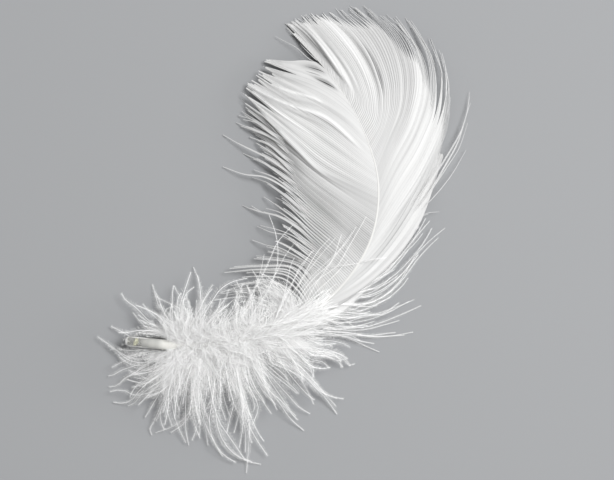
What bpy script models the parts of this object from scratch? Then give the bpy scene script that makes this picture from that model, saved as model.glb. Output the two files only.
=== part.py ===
"""A white down feather that lies on a flat surface, in one piece as it grew: quill, shaft, vanes and down.

Metres, +Z up. The origin is under the middle of the feather, on the surface that it lies on.
"""

import bpy
import numpy as np
from mathutils import Matrix

MM = 0.001

# The shaft's centreline from the quill's blunt end to the feather's tip: x, y and height, in mm.
SHAFT_LINE = (
    (-23.8, -15.2, 4.4),
    (-16.0, -15.8, 5.6),
    (-7.0, -15.2, 6.6),
    (1.5, -12.2, 7.0),
    (8.8, -6.6, 6.9),
    (13.0, 0.4, 6.6),
    (14.0, 8.5, 6.0),
    (11.5, 17.0, 4.8),
    (6.4, 25.3, 2.8),
    (0.4, 32.0, 0.7),
)
# Pairs of a distance from the quill's end and the shaft's radius there, in mm.
SHAFT_RADIUS = (
    (0.0, 0.42),
    (0.5, 0.68),
    (3.0, 0.75),
    (9.0, 0.68),
    (25.0, 0.52),
    (45.0, 0.36),
    (65.0, 0.24),
    (80.0, 0.12),
)
SHAFT_STEP = 2.6
SHAFT_SIDES = 8

# Guide barbs: distance of the root along the shaft, then three points out to the tip, all in mm.
# They sweep up the outside of the bend on the right, and fan out to the left inside it.
RIGHT_BARBS = (
    (25.5, (11.5, -7.4, 5.2), (18.3, -0.6, 2.6), (22.4, 8.8, 0.6)),
    (31.0, (12.7, -4.3, 5.8), (18.7, 3.3, 3.2), (23.6, 13.6, 0.0)),
    (35.0, (14.4, -0.9, 6.0), (20.0, 8.2, 3.6), (24.7, 18.4, 0.6)),
    (38.5, (15.8, 2.5, 6.3), (21.2, 12.8, 4.0), (24.7, 24.0, 1.2)),
    (41.0, (16.7, 5.5, 6.4), (21.5, 16.8, 4.2), (23.4, 28.4, 0.8)),
    (44.0, (17.4, 8.5, 6.4), (21.3, 20.2, 4.3), (21.8, 30.3, 0.6)),
    (47.0, (17.5, 11.5, 6.3), (20.5, 23.0, 4.3), (19.0, 33.0, 0.3)),
    (50.5, (17.0, 14.8, 6.0), (18.7, 25.4, 4.0), (15.8, 34.0, 0.2)),
    (54.0, (16.1, 18.2, 5.6), (16.2, 27.8, 3.6), (12.2, 35.1, 0.0)),
    (58.0, (14.1, 21.7, 4.9), (12.9, 29.8, 3.1), (8.8, 35.2, 0.0)),
    (62.0, (11.6, 24.7, 4.1), (9.5, 31.2, 2.5), (5.6, 34.4, 0.0)),
    (66.5, (8.5, 27.3, 3.2), (6.4, 31.7, 1.8), (3.4, 34.0, 0.0)),
    (71.0, (5.7, 29.5, 2.3), (4.0, 32.1, 1.2), (1.9, 33.6, 0.0)),
    (76.0, (2.8, 31.2, 1.2), (1.9, 32.4, 0.7), (0.9, 33.0, 0.2)),
)
LEFT_BARBS = (
    (28.5, (1.6, -6.9, 6.4), (-2.2, -4.9, 4.0), (-9.4, -4.6, 1.5)),
    (31.5, (3.4, -5.0, 6.3), (0.0, -2.9, 4.0), (-4.2, -2.4, 1.4)),
    (34.0, (4.6, -2.8, 6.2), (0.6, -0.7, 3.8), (-4.8, -0.1, 0.8)),
    (36.5, (5.8, -0.9, 6.1), (1.8, 1.0, 3.6), (-4.0, 2.1, 1.0)),
    (39.0, (6.9, 1.1, 6.0), (1.9, 3.2, 3.4), (-6.3, 5.2, 0.0)),
    (41.5, (7.7, 3.6, 6.0), (2.5, 6.2, 3.3), (-4.7, 9.3, 0.6)),
    (44.0, (8.4, 6.6, 6.0), (2.8, 9.6, 3.2), (-6.2, 13.1, 0.0)),
    (46.5, (9.0, 9.4, 6.0), (2.9, 12.6, 3.3), (-4.8, 15.2, 0.5)),
    (49.0, (9.3, 11.8, 6.0), (3.0, 15.2, 3.8), (-7.0, 18.4, 0.0)),
    (51.5, (9.4, 13.8, 6.1), (3.0, 17.0, 4.9), (-6.6, 21.3, 1.0)),
    (54.5, (9.2, 16.0, 6.0), (3.0, 19.2, 5.0), (-5.6, 23.2, 1.4)),
    (58.0, (8.2, 18.8, 5.5), (2.7, 21.6, 4.7), (-4.5, 24.7, 1.6)),
    (62.0, (7.0, 21.6, 4.8), (2.4, 23.8, 4.1), (-3.4, 25.9, 1.5)),
    (66.0, (5.6, 24.2, 3.9), (2.0, 25.5, 3.3), (-2.9, 26.9, 1.2)),
    (70.0, (4.3, 26.3, 2.8), (2.2, 26.8, 2.4), (-1.0, 27.0, 1.6)),
)
# Share of a barb's length up to which its neighbours hook to it, one for each guide barb.
RIGHT_HOOKED = (1.0, 0.93, 0.92, 0.91, 0.91, 0.91, 0.91, 0.91, 0.92, 0.92, 0.91, 0.90, 0.88, 0.84)
LEFT_HOOKED = (0.34, 0.36, 0.38, 0.42, 0.48, 0.56, 0.62, 0.64, 0.66, 0.90, 0.94, 0.94, 0.93, 0.90, 0.85)
RIGHT_ROWS, LEFT_ROWS = 39, 41
# Points across a vane's plate, and points along a guide barb, which the plate's are read from.
VANE_COLUMNS = 5
BARB_POINTS = 13
VANE_THICKNESS = 0.4
# Every second barb stands this proud of the plate.
RIDGE_HEIGHT = 0.16
TOOTH_WIDTH = 0.3
LONG_TOOTH = 1.2
ROOT_OVERLAP = 0.1

# Locks of down: root along the shaft; a point half way out (x, y); the tip (x, y, height), all in mm.
DOWN_LOCKS = (
    # Beside the quill and above the shaft's lower end.
    (7.5, (-23.5, -17.5), (-27.9, -14.6, 1.6)),
    (7.2, (-22.4, -14.3), (-26.2, -13.1, 1.2)),
    (8.5, (-20.5, -13.2), (-25.2, -13.8, 5.4)),
    (8.5, (-21.0, -11.8), (-24.5, -8.1, 2.4)),
    (9.8, (-18.9, -11.6), (-22.3, -9.8, 6.5)),
    (9.0, (-18.7, -10.6), (-19.9, -6.9, 0.0)),
    (10.8, (-15.2, -9.8), (-16.5, -7.0, 2.5)),
    (10.0, (-15.4, -8.9), (-14.0, -5.0, 5.0)),
    (11.5, (-12.4, -8.8), (-13.7, -4.3, 0.0)),
    (10.4, (-14.6, -11.5), (-14.6, -8.0, 8.5)),
    (11.8, (-10.0, -7.9), (-5.7, -5.7, 4.5)),
    (14.5, (-9.6, -10.2), (-8.2, -7.2, 9.5)),
    (17.5, (-6.6, -10.5), (-6.2, -6.4, 8.0)),
    (20.5, (-4.1, -9.0), (-7.2, -6.2, 3.5)),
    (22.5, (-1.9, -8.4), (-4.8, -4.4, 4.0)),
    (24.5, (0.1, -8.4), (-2.6, -3.6, 4.5)),
    (26.5, (1.6, -7.4), (-0.4, -3.0, 5.5)),
    # Below the quill, to the left.
    (8.0, (-21.5, -17.9), (-25.8, -19.1, 3.5)),
    (9.0, (-22.0, -19.7), (-26.5, -22.3, 0.0)),
    (10.3, (-21.2, -22.9), (-26.3, -22.8, 2.2)),
    (11.0, (-20.8, -23.1), (-25.8, -24.6, 0.0)),
    (10.3, (-18.6, -21.6), (-22.0, -24.5, 4.5)),
    (9.8, (-17.9, -23.4), (-20.2, -29.5, 0.0)),
    (11.8, (-14.6, -26.4), (-19.4, -29.1, 0.0)),
    (10.8, (-16.3, -22.5), (-17.6, -27.5, 5.5)),
    (11.0, (-16.4, -24.0), (-15.0, -30.6, 1.0)),
    (11.3, (-15.0, -24.0), (-14.6, -31.0, 0.0)),
    (11.9, (-13.1, -24.5), (-14.0, -30.2, 3.0)),
    (12.8, (-12.0, -24.0), (-11.6, -30.8, 0.5)),
    (12.4, (-12.6, -21.5), (-12.7, -27.4, 7.0)),
    (12.9, (-11.6, -25.0), (-9.6, -32.8, 0.0)),
    (12.8, (-10.2, -25.4), (-5.9, -33.4, 2.0)),
    (14.8, (-5.7, -25.7), (-5.9, -35.2, 0.0)),
    (15.8, (-6.2, -24.9), (-2.9, -32.2, 1.5)),
    (15.3, (-7.6, -22.9), (-8.6, -28.7, 6.0)),
    (16.0, (-6.8, -23.2), (-7.5, -29.0, 2.5)),
    (16.5, (-4.4, -22.8), (-4.8, -27.8, 5.0)),
    # Below the shaft, to the right.
    (17.3, (-4.2, -21.8), (-1.9, -26.2, 3.0)),
    (18.0, (-3.0, -21.0), (-1.0, -25.2, 6.5)),
    (18.9, (-1.0, -23.0), (2.7, -28.8, 0.0)),
    (19.5, (-0.4, -21.6), (3.7, -26.2, 1.0)),
    (20.5, (1.6, -20.0), (4.4, -24.7, 4.5)),
    (21.0, (3.2, -20.2), (7.9, -26.5, 0.0)),
    (21.5, (3.4, -19.6), (8.9, -24.0, 2.0)),
    (22.5, (2.0, -17.6), (4.2, -21.0, 7.0)),
    (23.5, (6.5, -16.6), (8.3, -19.4, 1.5)),
    (24.0, (7.4, -15.9), (10.5, -19.2, 0.0)),
    (24.8, (8.2, -14.6), (14.2, -16.9, 0.0)),
    (26.0, (10.4, -14.4), (18.8, -13.9, 0.0)),
    (26.5, (11.8, -13.0), (20.4, -9.9, 0.0)),
    (27.5, (11.3, -12.0), (18.4, -9.3, 1.5)),
    (28.7, (10.4, -10.9), (16.2, -8.4, 3.0)),
    (29.5, (12.2, -9.7), (17.7, -6.5, 1.0)),
    (30.7, (16.3, -7.2), (24.0, 1.6, 0.0)),
    (31.8, (15.6, -6.3), (22.2, 1.6, 1.5)),
    (33.0, (16.0, -4.2), (21.7, 2.7, 0.5)),
    (34.4, (15.6, -3.6), (21.2, 3.0, 2.0)),
)
# The crown: short locks that lean up and out over the shaft, turn by turn along it.
CROWN_LOCKS = 7
CROWN_FROM, CROWN_TO = 9.0, 24.0
CROWN_REACH, CROWN_HEIGHT = 6.0, 3.0
# Single barbs that have come loose from the vanes or lie across the down, in the same form as the locks.
LOOSE_BARBS = (
    (25.5, (-5.0, -8.4), (-10.2, -9.1, 4.0)),
    (27.5, (-4.5, -7.0), (-10.0, -8.0, 1.5)),
    (17.0, (-3.0, -5.2), (-2.2, 3.7, 7.0)),
    (19.0, (-1.5, -4.6), (1.2, 2.0, 8.4)),
    (22.5, (1.5, -5.8), (3.6, -1.6, 8.6)),
    (13.4, (-9.8, -28.3), (-3.6, -34.1, 0.0)),
    (43.0, (3.4, 7.0), (-9.2, 11.0, 0.8)),
    (46.5, (2.8, 11.6), (-9.2, 15.7, 0.6)),
    (69.5, (2.9, 27.8), (-1.3, 30.8, 0.8)),
    (31.0, (16.5, -2.4), (23.2, 4.3, 1.5)),
    (32.0, (19.3, 2.2), (27.4, 13.5, 0.6)),
    (33.5, (20.6, 5.3), (28.2, 20.4, 0.8)),
    (34.5, (21.0, 6.4), (27.8, 22.2, 0.0)),
)
# Half widths and half heights of a lock at its five points, from root to tip. A lock is flat, and widest half way.
LOCK_HALF_WIDTH = (0.55, 0.85, 0.95, 0.65, 0.18)
LOCK_HALF_HEIGHT = (0.5, 0.5, 0.45, 0.35, 0.16)
LOOSE_HALF_WIDTH = (0.3, 0.28, 0.25, 0.2, 0.14)
LOCK_SIDES = 4
LOCK_ARCH = 1.3
# The surface lies this far under height 0 and cuts off what reaches into it. The feather is then set down on it.
UNDER = 0.07
BLOCK = 90.0


def smooth(knots, rows, at):
    """Cubic curve through rows at knots, read at these places. Its slopes come from the chords next to each knot."""
    knots, rows, at = np.asarray(knots, float), np.asarray(rows, float), np.asarray(at, float)
    slopes = np.gradient(rows, knots, axis=0)
    i = np.clip(np.searchsorted(knots, at) - 1, 0, len(knots) - 2)
    step = knots[i + 1] - knots[i]
    u = (at - knots[i]) / step
    shape = (-1,) + (1,) * (rows.ndim - 1)
    u, step = u.reshape(shape), step.reshape(shape)
    return (
        rows[i] * (1 + 2 * u) * (1 - u) ** 2
        + rows[i + 1] * u * u * (3 - 2 * u)
        + slopes[i] * step * u * (1 - u) ** 2
        - slopes[i + 1] * step * u * u * (1 - u)
    )


def along_line(points):
    """Distance from the first point to each point, along the chords."""
    steps = np.linalg.norm(np.diff(points, axis=0), axis=1)
    return np.concatenate([[0.0], np.cumsum(steps)])


SHAFT_CHORDS = along_line(np.array(SHAFT_LINE))
SHAFT_LENGTH = SHAFT_CHORDS[-1]


def on_shaft(distance):
    """Points of the shaft's centreline, in mm, at these distances from the quill's end."""
    return smooth(SHAFT_CHORDS, SHAFT_LINE, np.clip(distance, 0.0, SHAFT_LENGTH))


def shaft_radius(distance):
    """The shaft's radius in mm at these distances from the quill's end."""
    places, radii = zip(*SHAFT_RADIUS)
    return np.interp(distance, places, radii)


def solid(name, points, faces):
    """A mesh object from points in mm and faces that list their corners anticlockwise from outside."""
    mesh = bpy.data.meshes.new(name)
    mesh.from_pydata((np.asarray(points) * MM).tolist(), [], faces)
    found = bpy.data.objects.new(name, mesh)
    bpy.context.scene.collection.objects.link(found)
    return found


def sideways(direction):
    """Level unit vectors to the left of these directions, seen from above."""
    left = np.cross((0.0, 0.0, 1.0), direction)
    return left / np.linalg.norm(left, axis=-1, keepdims=True)


def tapered_tube(name, line, half_widths, half_heights, sides):
    """A closed tube along a line of points, with a flat cap at its root and a point at its tip."""
    along = np.gradient(line, axis=0)
    along /= np.linalg.norm(along, axis=1)[:, None]
    aside = sideways(along)
    upward = np.cross(along, aside)
    turn = 2 * np.pi * np.arange(sides) / sides
    across = np.outer(half_widths, np.cos(turn))[:, :, None] * aside[:, None]
    rings = line[:, None] + across + np.outer(half_heights, np.sin(turn))[:, :, None] * upward[:, None]
    tip = line[-1] + along[-1] * half_widths[-1]
    faces = [tuple(reversed(range(sides)))]
    for low in range(0, sides * (len(line) - 1), sides):
        for i in range(sides):
            after = (i + 1) % sides
            faces.append((low + i, low + after, low + sides + after, low + sides + i))
    last = sides * (len(line) - 1)
    faces += [(last + i, last + (i + 1) % sides, last + sides) for i in range(sides)]
    return solid(name, np.vstack([rings.reshape(-1, 3), tip]), faces)


def quill_and_shaft():
    distance = np.append(np.arange(0.0, SHAFT_LENGTH - 0.5 * SHAFT_STEP, SHAFT_STEP), SHAFT_LENGTH)
    distance = np.insert(distance, 1, [0.25, 0.7])
    radius = shaft_radius(distance)
    return tapered_tube("feather", on_shaft(distance), radius, radius, SHAFT_SIDES)


def bent_line(points, count):
    """A smooth line through the points, as this many points evenly spaced along it."""
    chords = along_line(np.array(points))
    return smooth(chords, points, np.linspace(0.0, chords[-1], count))


def lock_line(root, middle, tip):
    """Points of a lock from the shaft to its tip, in one smooth bend that arches up a little half way out."""
    start = on_shaft([root])[0]
    height = 0.5 * (start[2] + tip[2]) + LOCK_ARCH
    return bent_line([start, (*middle, height), tip], len(LOCK_HALF_WIDTH))


def crown_line(number):
    """Points of a crown lock. Each leans the other way from the last, and they lean less towards the vane."""
    share = (number + 0.5) / CROWN_LOCKS
    start = on_shaft([CROWN_FROM + (CROWN_TO - CROWN_FROM) * share])[0]
    side = 1.0 if number % 2 else -1.0
    lean = np.array([0.55 - 0.4 * share, side * (0.75 - 0.35 * share), 0.0])
    reach = CROWN_REACH * (1.0 + 0.15 * np.sin(5.0 * number))
    end = start + reach * lean + np.array([0.0, 0.0, CROWN_HEIGHT * (1.0 - 0.35 * share)])
    through = 0.5 * (start + end) + 0.15 * reach * np.array([0.0, 0.0, 1.0])
    return bent_line([start, through, end], len(LOCK_HALF_WIDTH))


def vane_barbs(guides, rows):
    """The barbs of a vane, as rows of points from shaft to tip, and the distance of each root along the shaft.

    Their tips are evenly spaced round the vane's edge."""
    roots = np.array([guide[0] for guide in guides])
    lines = np.array([bent_line([on_shaft([root])[0], *rest], BARB_POINTS) for root, *rest in guides])
    round_edge = along_line(lines[:, -1])
    at = np.interp(np.linspace(0.0, round_edge[-1], rows), round_edge, roots)
    barbs = smooth(roots, lines, at)
    barbs[:, 0] = on_shaft(at)
    return at, barbs


def on_barb(barb, shares):
    """Points of a barb at these shares of its length."""
    places = np.linspace(0.0, 1.0, BARB_POINTS)
    return np.stack([np.interp(shares, places, barb[:, i]) for i in range(3)], axis=-1)


def tooth(barb, reach, corners, first, side):
    """Points and faces of one tooth on a vane's rim, between the rim corners before, at and after its barb.

    A long tooth soon narrows to its width. A short one is a plain triangle. first numbers its first point."""
    middle, tip = on_barb(barb, np.array([0.5 + 0.5 * reach, 1.0]))
    before, here, after = corners
    if np.linalg.norm(tip - middle) < LONG_TOOTH:
        return [tip], [(before, first, here), (here, first, after)]
    half = 0.5 * side * TOOTH_WIDTH * sideways(tip - middle)
    points = [middle - half, middle + (0.0, 0.0, RIDGE_HEIGHT), middle + half, tip]
    faces = [(before, first, first + 1, here), (here, first + 1, first + 2, after)]
    return points, faces + [(first, first + 3, first + 1), (first + 1, first + 3, first + 2)]


def vane(name, guides, hooked, rows, side):
    """A thin plate over the barbs out to where they unhook, with a tooth for every second barb out to its tip.

    side is 1 for the vane right of the shaft and -1 for the left one. The root edge crosses the shaft's middle a
    little, so that the two vanes overlap inside it."""
    at, barbs = vane_barbs(guides, rows)
    reach = np.interp(at, [guide[0] for guide in guides], hooked)
    share = np.linspace(0.0, 1.0, VANE_COLUMNS)
    plate = np.array([on_barb(barb, share * out) for barb, out in zip(barbs, reach)])
    ridges = range(1, rows - 1, 2)
    plate[ridges, 1:, 2] += RIDGE_HEIGHT
    plate[:, 0] += side * ROOT_OVERLAP * sideways(np.gradient(barbs[:, 0], axis=0))
    points = list(plate.reshape(-1, 3))
    index = np.arange(rows * VANE_COLUMNS).reshape(rows, VANE_COLUMNS)
    faces = [
        (index[i, j], index[i, j + 1], index[i + 1, j + 1], index[i + 1, j])
        for i in range(rows - 1)
        for j in range(VANE_COLUMNS - 1)
    ]
    for row in ridges:
        added, between = tooth(barbs[row], reach[row], index[row - 1 : row + 2, -1], len(points), side)
        points += added
        faces += between
    return thickened(name, np.array(points), faces, side)


def thickened(name, points, faces, side):
    """A closed plate: the sheet of faces raised by half its thickness, the same lowered, and a wall round both."""
    if side < 0:
        faces = [face[::-1] for face in faces]
    half = np.array([0.0, 0.0, 0.5 * VANE_THICKNESS])
    lower = len(points)
    edges = {(face[i - 1], face[i]) for face in faces for i in range(len(face))}
    rim = [edge for edge in edges if edge[::-1] not in edges]
    under = [tuple(corner + lower for corner in face[::-1]) for face in faces]
    wall = [(end, start, start + lower, end + lower) for start, end in sorted(rim)]
    return solid(name, np.vstack([points + half, points - half]), faces + under + wall)


def surface_cutter():
    """A block whose top is the surface that the feather lies on. It flattens what touches that surface."""
    bpy.ops.mesh.primitive_cube_add(size=BLOCK * MM)
    block = bpy.context.object
    block.name = "surface"
    block.location.z = -(0.5 * BLOCK + UNDER) * MM
    return block


def fuse(feather, growths, cutter):
    """Joins the growths to the shaft in one solid, cuts it flat at the surface and sets it down at height 0."""
    gathered = bpy.data.collections.new("growths")
    for growth in growths:
        gathered.objects.link(growth)
    join = feather.modifiers.new("grown together", "BOOLEAN")
    join.operation = "UNION"
    join.operand_type = "COLLECTION"
    join.collection = gathered
    join.solver = "EXACT"
    cut = feather.modifiers.new("lies flat", "BOOLEAN")
    cut.operation = "DIFFERENCE"
    cut.object = cutter
    cut.solver = "EXACT"
    bpy.context.view_layer.update()
    mesh = bpy.data.meshes.new_from_object(feather.evaluated_get(bpy.context.evaluated_depsgraph_get()))
    mesh.transform(Matrix.Translation((0.0, 0.0, UNDER * MM)))
    feather.modifiers.clear()
    feather.data = mesh
    for helper in [*growths, cutter]:
        bpy.data.objects.remove(helper)
    bpy.data.collections.remove(gathered)


def feather_white():
    """The plain white that down feathers are."""
    material = bpy.data.materials.new("white feather")
    material.use_nodes = True
    shader = material.node_tree.nodes["Principled BSDF"]
    shader.inputs["Base Color"].default_value = (0.93, 0.93, 0.915, 1.0)
    shader.inputs["Roughness"].default_value = 0.6
    shader.inputs["Metallic"].default_value = 0.0
    return material


def main():
    """Clears the scene and leaves the feather in it as one object."""
    for old in list(bpy.data.objects):
        bpy.data.objects.remove(old)
    feather = quill_and_shaft()
    growths = [
        vane("right vane", RIGHT_BARBS, RIGHT_HOOKED, RIGHT_ROWS, 1),
        vane("left vane", LEFT_BARBS, LEFT_HOOKED, LEFT_ROWS, -1),
    ]
    down = [lock_line(*lock) for lock in DOWN_LOCKS] + [crown_line(i) for i in range(CROWN_LOCKS)]
    for i, line in enumerate(down):
        growths.append(tapered_tube(f"lock {i}", line, LOCK_HALF_WIDTH, LOCK_HALF_HEIGHT, LOCK_SIDES))
    for i, barb in enumerate(LOOSE_BARBS):
        line = lock_line(*barb)
        growths.append(tapered_tube(f"loose {i}", line, LOOSE_HALF_WIDTH, LOOSE_HALF_WIDTH, LOCK_SIDES))
    fuse(feather, growths, surface_cutter())
    feather.data.materials.clear()
    feather.data.materials.append(feather_white())
    feather.data.shade_smooth()
    feather.data.set_sharp_from_angle(angle=0.6)


main()
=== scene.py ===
"""A white down feather lying flat on a pale surface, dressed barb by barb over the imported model.

Lengths are in mm until a mesh is made: x to the right, y up the feather, z off the surface. Every shape is a
line or a sheet of lines, worked out as whole arrays, with a closed outline carried along it.
"""
import bpy
import numpy as np
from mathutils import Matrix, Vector


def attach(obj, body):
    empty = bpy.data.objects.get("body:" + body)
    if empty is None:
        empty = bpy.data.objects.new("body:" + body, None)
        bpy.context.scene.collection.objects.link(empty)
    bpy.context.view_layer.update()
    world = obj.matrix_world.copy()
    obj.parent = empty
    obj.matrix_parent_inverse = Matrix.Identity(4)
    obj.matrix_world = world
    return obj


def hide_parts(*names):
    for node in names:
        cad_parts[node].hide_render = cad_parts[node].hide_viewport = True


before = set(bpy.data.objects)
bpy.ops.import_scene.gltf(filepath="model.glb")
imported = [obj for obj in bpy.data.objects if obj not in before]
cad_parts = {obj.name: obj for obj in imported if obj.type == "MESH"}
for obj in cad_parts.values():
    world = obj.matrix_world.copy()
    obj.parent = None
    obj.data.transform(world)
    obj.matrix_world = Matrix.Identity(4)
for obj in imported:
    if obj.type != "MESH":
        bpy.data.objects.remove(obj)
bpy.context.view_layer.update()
MM = 0.001
UP = np.array([0.0, 0.0, 1.0])
chance = np.random.default_rng(11)

# The shaft, as in the part's source: its centreline, raised by what the source takes off underneath.
UNDER = 0.07
SHAFT_LINE = np.array([
    (-23.8, -15.2, 4.4), (-16.0, -15.8, 5.6), (-7.0, -15.2, 6.6), (1.5, -12.2, 7.0), (8.8, -6.6, 6.9),
    (13.0, 0.4, 6.6), (14.0, 8.5, 6.0), (11.5, 17.0, 4.8), (6.4, 25.3, 2.8), (0.4, 32.0, 0.7),
]) + (0.0, 0.0, UNDER)
# Pairs of a distance from the quill's end and the shaft's radius there.
SHAFT_RADIUS = (
    (0.0, 0.42), (0.5, 0.68), (3.0, 0.75), (8.0, 0.6), (9.5, 0.55), (12.0, 0.48), (18.0, 0.4), (25.0, 0.36),
    (45.0, 0.23), (65.0, 0.13), (80.0, 0.05),
)

# Guide barbs of the vanes: distance of the root along the shaft, tip height, bow (how long the barb stays
# high), then x, y pairs out to the tip.
RIGHT_BARBS = (
    (18.5, 4.6, 1.0, (-2, -15, 2.5, -14.3, 8.5, -12)),
    (21.0, 3.2, 1.1, (1.5, -13.6, 7.5, -11.3, 12.5, -7.4)),
    (23.2, 1.8, 1.1, (3.8, -12.2, 11, -8.4, 17.4, -1.6)),
    (25.5, 0.6, 1.2, (11.5, -7.4, 18.3, -0.6, 22.4, 8.8)),
    (31.0, 0.1, 1.3, (12.7, -4.3, 18.7, 3.3, 23.6, 13.6)),
    (35.0, 0.6, 1.5, (14.4, -0.9, 20, 8.2, 24.8, 18.4)),
    (38.5, 1.2, 1.8, (16, 2.8, 20.6, 9.9, 23.8, 16.8, 24.8, 23)),
    (41.0, 0.8, 1.9, (16.6, 4.9, 20.9, 12, 23.9, 19.5, 24.2, 25, 23.4, 28.5)),
    (43.5, 0.6, 2.0, (16.6, 6.6, 20.6, 13, 23.2, 20, 23.4, 25.6, 21.8, 30.4)),
    (46.0, 0.4, 2.1, (16.6, 8.6, 20.1, 14.6, 22.4, 21, 22.3, 27, 19.1, 33)),
    (48.5, 0.3, 2.2, (16.5, 10.8, 19.6, 16.7, 21.2, 22.8, 20.4, 27.8, 16.8, 33.7)),
    (50.5, 0.3, 2.2, (16.2, 12.6, 18.9, 18, 20.1, 23.8, 18.9, 29.2, 14.9, 33.9)),
    (52.5, 0.2, 2.2, (15.8, 14.4, 17.9, 19.3, 18.4, 24.8, 16.6, 30.4, 12.1, 35.2)),
    (54.5, 0.2, 2.1, (15.4, 15.6, 16.9, 20.2, 16.7, 25.2, 14.5, 30.9, 10, 35.4)),
    (56.5, 0.1, 2.1, (14.7, 16.6, 15.5, 20.9, 14.8, 25.2, 12.2, 30.4, 7.8, 34.9)),
    (58.5, 0.1, 2.0, (13.8, 17.6, 14, 21.4, 12.9, 25.4, 10, 30.2, 5.9, 34.3)),
    (60.5, 0.1, 2.0, (12.6, 19, 12.4, 22, 11.1, 25.6, 8, 30.2, 4.2, 34.3)),
    (62.5, 0.1, 1.9, (11.4, 20.2, 10.9, 22.8, 9.4, 26, 6.4, 30, 2.7, 34)),
    (65.0, 0.1, 1.8, (9.8, 22.4, 9, 24.6, 7.4, 27.2, 4.8, 30.4, 1.6, 33.6)),
    (69.0, 0.2, 1.6, (7.4, 25.2, 6.5, 26.9, 5.2, 28.7, 3.3, 30.9, 0.9, 33)),
    (74.0, 0.3, 1.4, (4, 28.9, 3.2, 29.9, 2.3, 30.9, 1.4, 31.8, 0.5, 32.7)),
    (78.5, 0.3, 1.2, (1.5, 31.2, 1.1, 31.7, 0.8, 32, 0.4, 32.4, 0, 32.8)),
)
LEFT_BARBS = (
    (27.5, 1.2, 1.1, (1, -9, -1.5, -7.4, -5.2, -7.4, -9, -8)),
    (28.7, 1.4, 1.1, (2.4, -7.6, 0.6, -5.6, -3, -5, -7.2, -5.2)),
    (30.0, 1.5, 1.1, (3.2, -6.8, 1, -4.4, -3, -4.2, -9.4, -4.7)),
    (31.5, 1.4, 1.2, (4.4, -5.8, 1.5, -3.3, -1, -2.8, -4.3, -2.4)),
    (33.5, 0.8, 1.3, (5.3, -5.1, 2.4, -2.9, -0.9, -1.3, -4.9, -0.1)),
    (35.0, 1.0, 1.4, (6.4, -4, 3.3, -1.8, 0.7, 0, -4.1, 2)),
    (37.0, 0.1, 1.5, (7.4, -3, 4, 0, 0, 3.2, -6.4, 5.2)),
    (39.2, 0.6, 1.6, (7.6, 0.3, 3.8, 3.5, 0, 6.8, -4.9, 9.4)),
    (41.2, 0.1, 1.6, (8.2, 2.2, 3.6, 6.2, 0, 9.3, -6.3, 13.1)),
    (43.2, 0.3, 1.7, (8.9, 3.6, 4.3, 7.3, 0, 11, -6, 14.2)),
    (45.2, 0.5, 1.7, (9.3, 5.2, 4.6, 8.6, 0, 12.4, -5.2, 15.6)),
    (47.2, 0.2, 1.8, (9.6, 6.7, 4.9, 9.9, 0, 13.8, -7.2, 17.8)),
    (49.0, 0.9, 2.0, (10.2, 7.8, 5.4, 10.3, 0.2, 15.3, -6.7, 21.4)),
    (51.0, 1.1, 2.1, (10.6, 10, 6.2, 12.9, 0.8, 17, -6.1, 22.4)),
    (53.0, 1.4, 2.1, (10.6, 12.4, 6.4, 15.6, 0.8, 19.2, -5.5, 23.5)),
    (55.0, 1.5, 2.1, (11, 14, 6.5, 17.9, 1, 20.7, -4.7, 24.4)),
    (58.0, 1.6, 2.0, (10, 17.2, 6.2, 19.9, 1.2, 22.6, -3.9, 25.4)),
    (61.5, 1.5, 1.9, (8.9, 20, 5.6, 22.3, 1.5, 24, -3.3, 26)),
    (65.0, 1.4, 1.8, (7.4, 22.9, 4.7, 24.3, 1.2, 25.4, -3, 26.6)),
    (69.5, 1.2, 1.6, (6.1, 25.6, 4.7, 26.6, 3.1, 26.95, 0.9, 26.8, -2.9, 27.1)),
)
# Where the first and the last barb of a vane leave the shaft, in mm along it.
RIGHT_ROOTS, LEFT_ROOTS = (18.5, 78.4), (27.0, 69.6)
# Share of a barb's length up to which its neighbours hook to it, one for each guide barb.
RIGHT_HOOKED = (
    0.55, 0.7, 0.9, 0.97, 0.95, 0.9, 0.76, 0.65, 0.59, 0.57, 0.58,
    0.63, 0.7, 0.79, 0.85, 0.88, 0.89, 0.89, 0.89, 0.87, 0.85, 0.85,
)
LEFT_HOOKED = (
    0.1, 0.12, 0.2, 0.28, 0.34, 0.38, 0.36, 0.45, 0.53, 0.62,
    0.7, 0.7, 0.82, 0.86, 0.88, 0.88, 0.87, 0.86, 0.85, 0.84,
)
# Share at which a left barb ends. Right ones reach their tips.
LEFT_ENDS = (1.0, 1.0, 1.0, 0.95, 0.85, 0.72, 0.7, 0.78, 0.84, 0.88, 0.92, 0.94) + (1.0,) * 8
# Width of a barb's hooked part over the gap to the next one. Below 1 the web is open and shows lines, and
# from CLOSED_COVER on it is closed.
CLOSED_COVER = 1.15
RIGHT_COVER = 1.2
LEFT_COVER = (0.6, 0.6, 0.65, 0.7, 0.74, 0.77, 0.79, 0.8, 0.83, 0.88, 0.94, 1.02, 1.1) + (CLOSED_COVER,) * 7
# Distance between neighbouring roots, and the step in which it is summed up.
RIGHT_SPACING = 0.36
LEFT_SPACING = (
    0.4, 0.4, 0.4, 0.38, 0.36, 0.36, 0.34, 0.32, 0.32, 0.34,
    0.34, 0.24, 0.21, 0.23, 0.26, 0.3, 0.36, 0.4, 0.42, 0.42,
)
FINE_STEP = 0.02
BARB_POINTS = 26
# Plain whiteness of a vane, and whiteness of barbules.
PLAIN_WHITE, BARBULE_WHITE = 0.49, 0.25
# Share of a barb's length at which its barbules begin.
BARBULES_FROM = 0.04
# Least and greatest half width and height of a vane's bars.
BAR_HALF_WIDTHS, BAR_HEIGHTS = (0.05, 0.42), (0.03, 0.14)
# Least height over the floor: of a barbule's tip, of a free barb, and of a down barb that strays.
TIP_LOW, FREE_LOW, STRAY_LOW = 0.03, 0.1, 0.12

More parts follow.
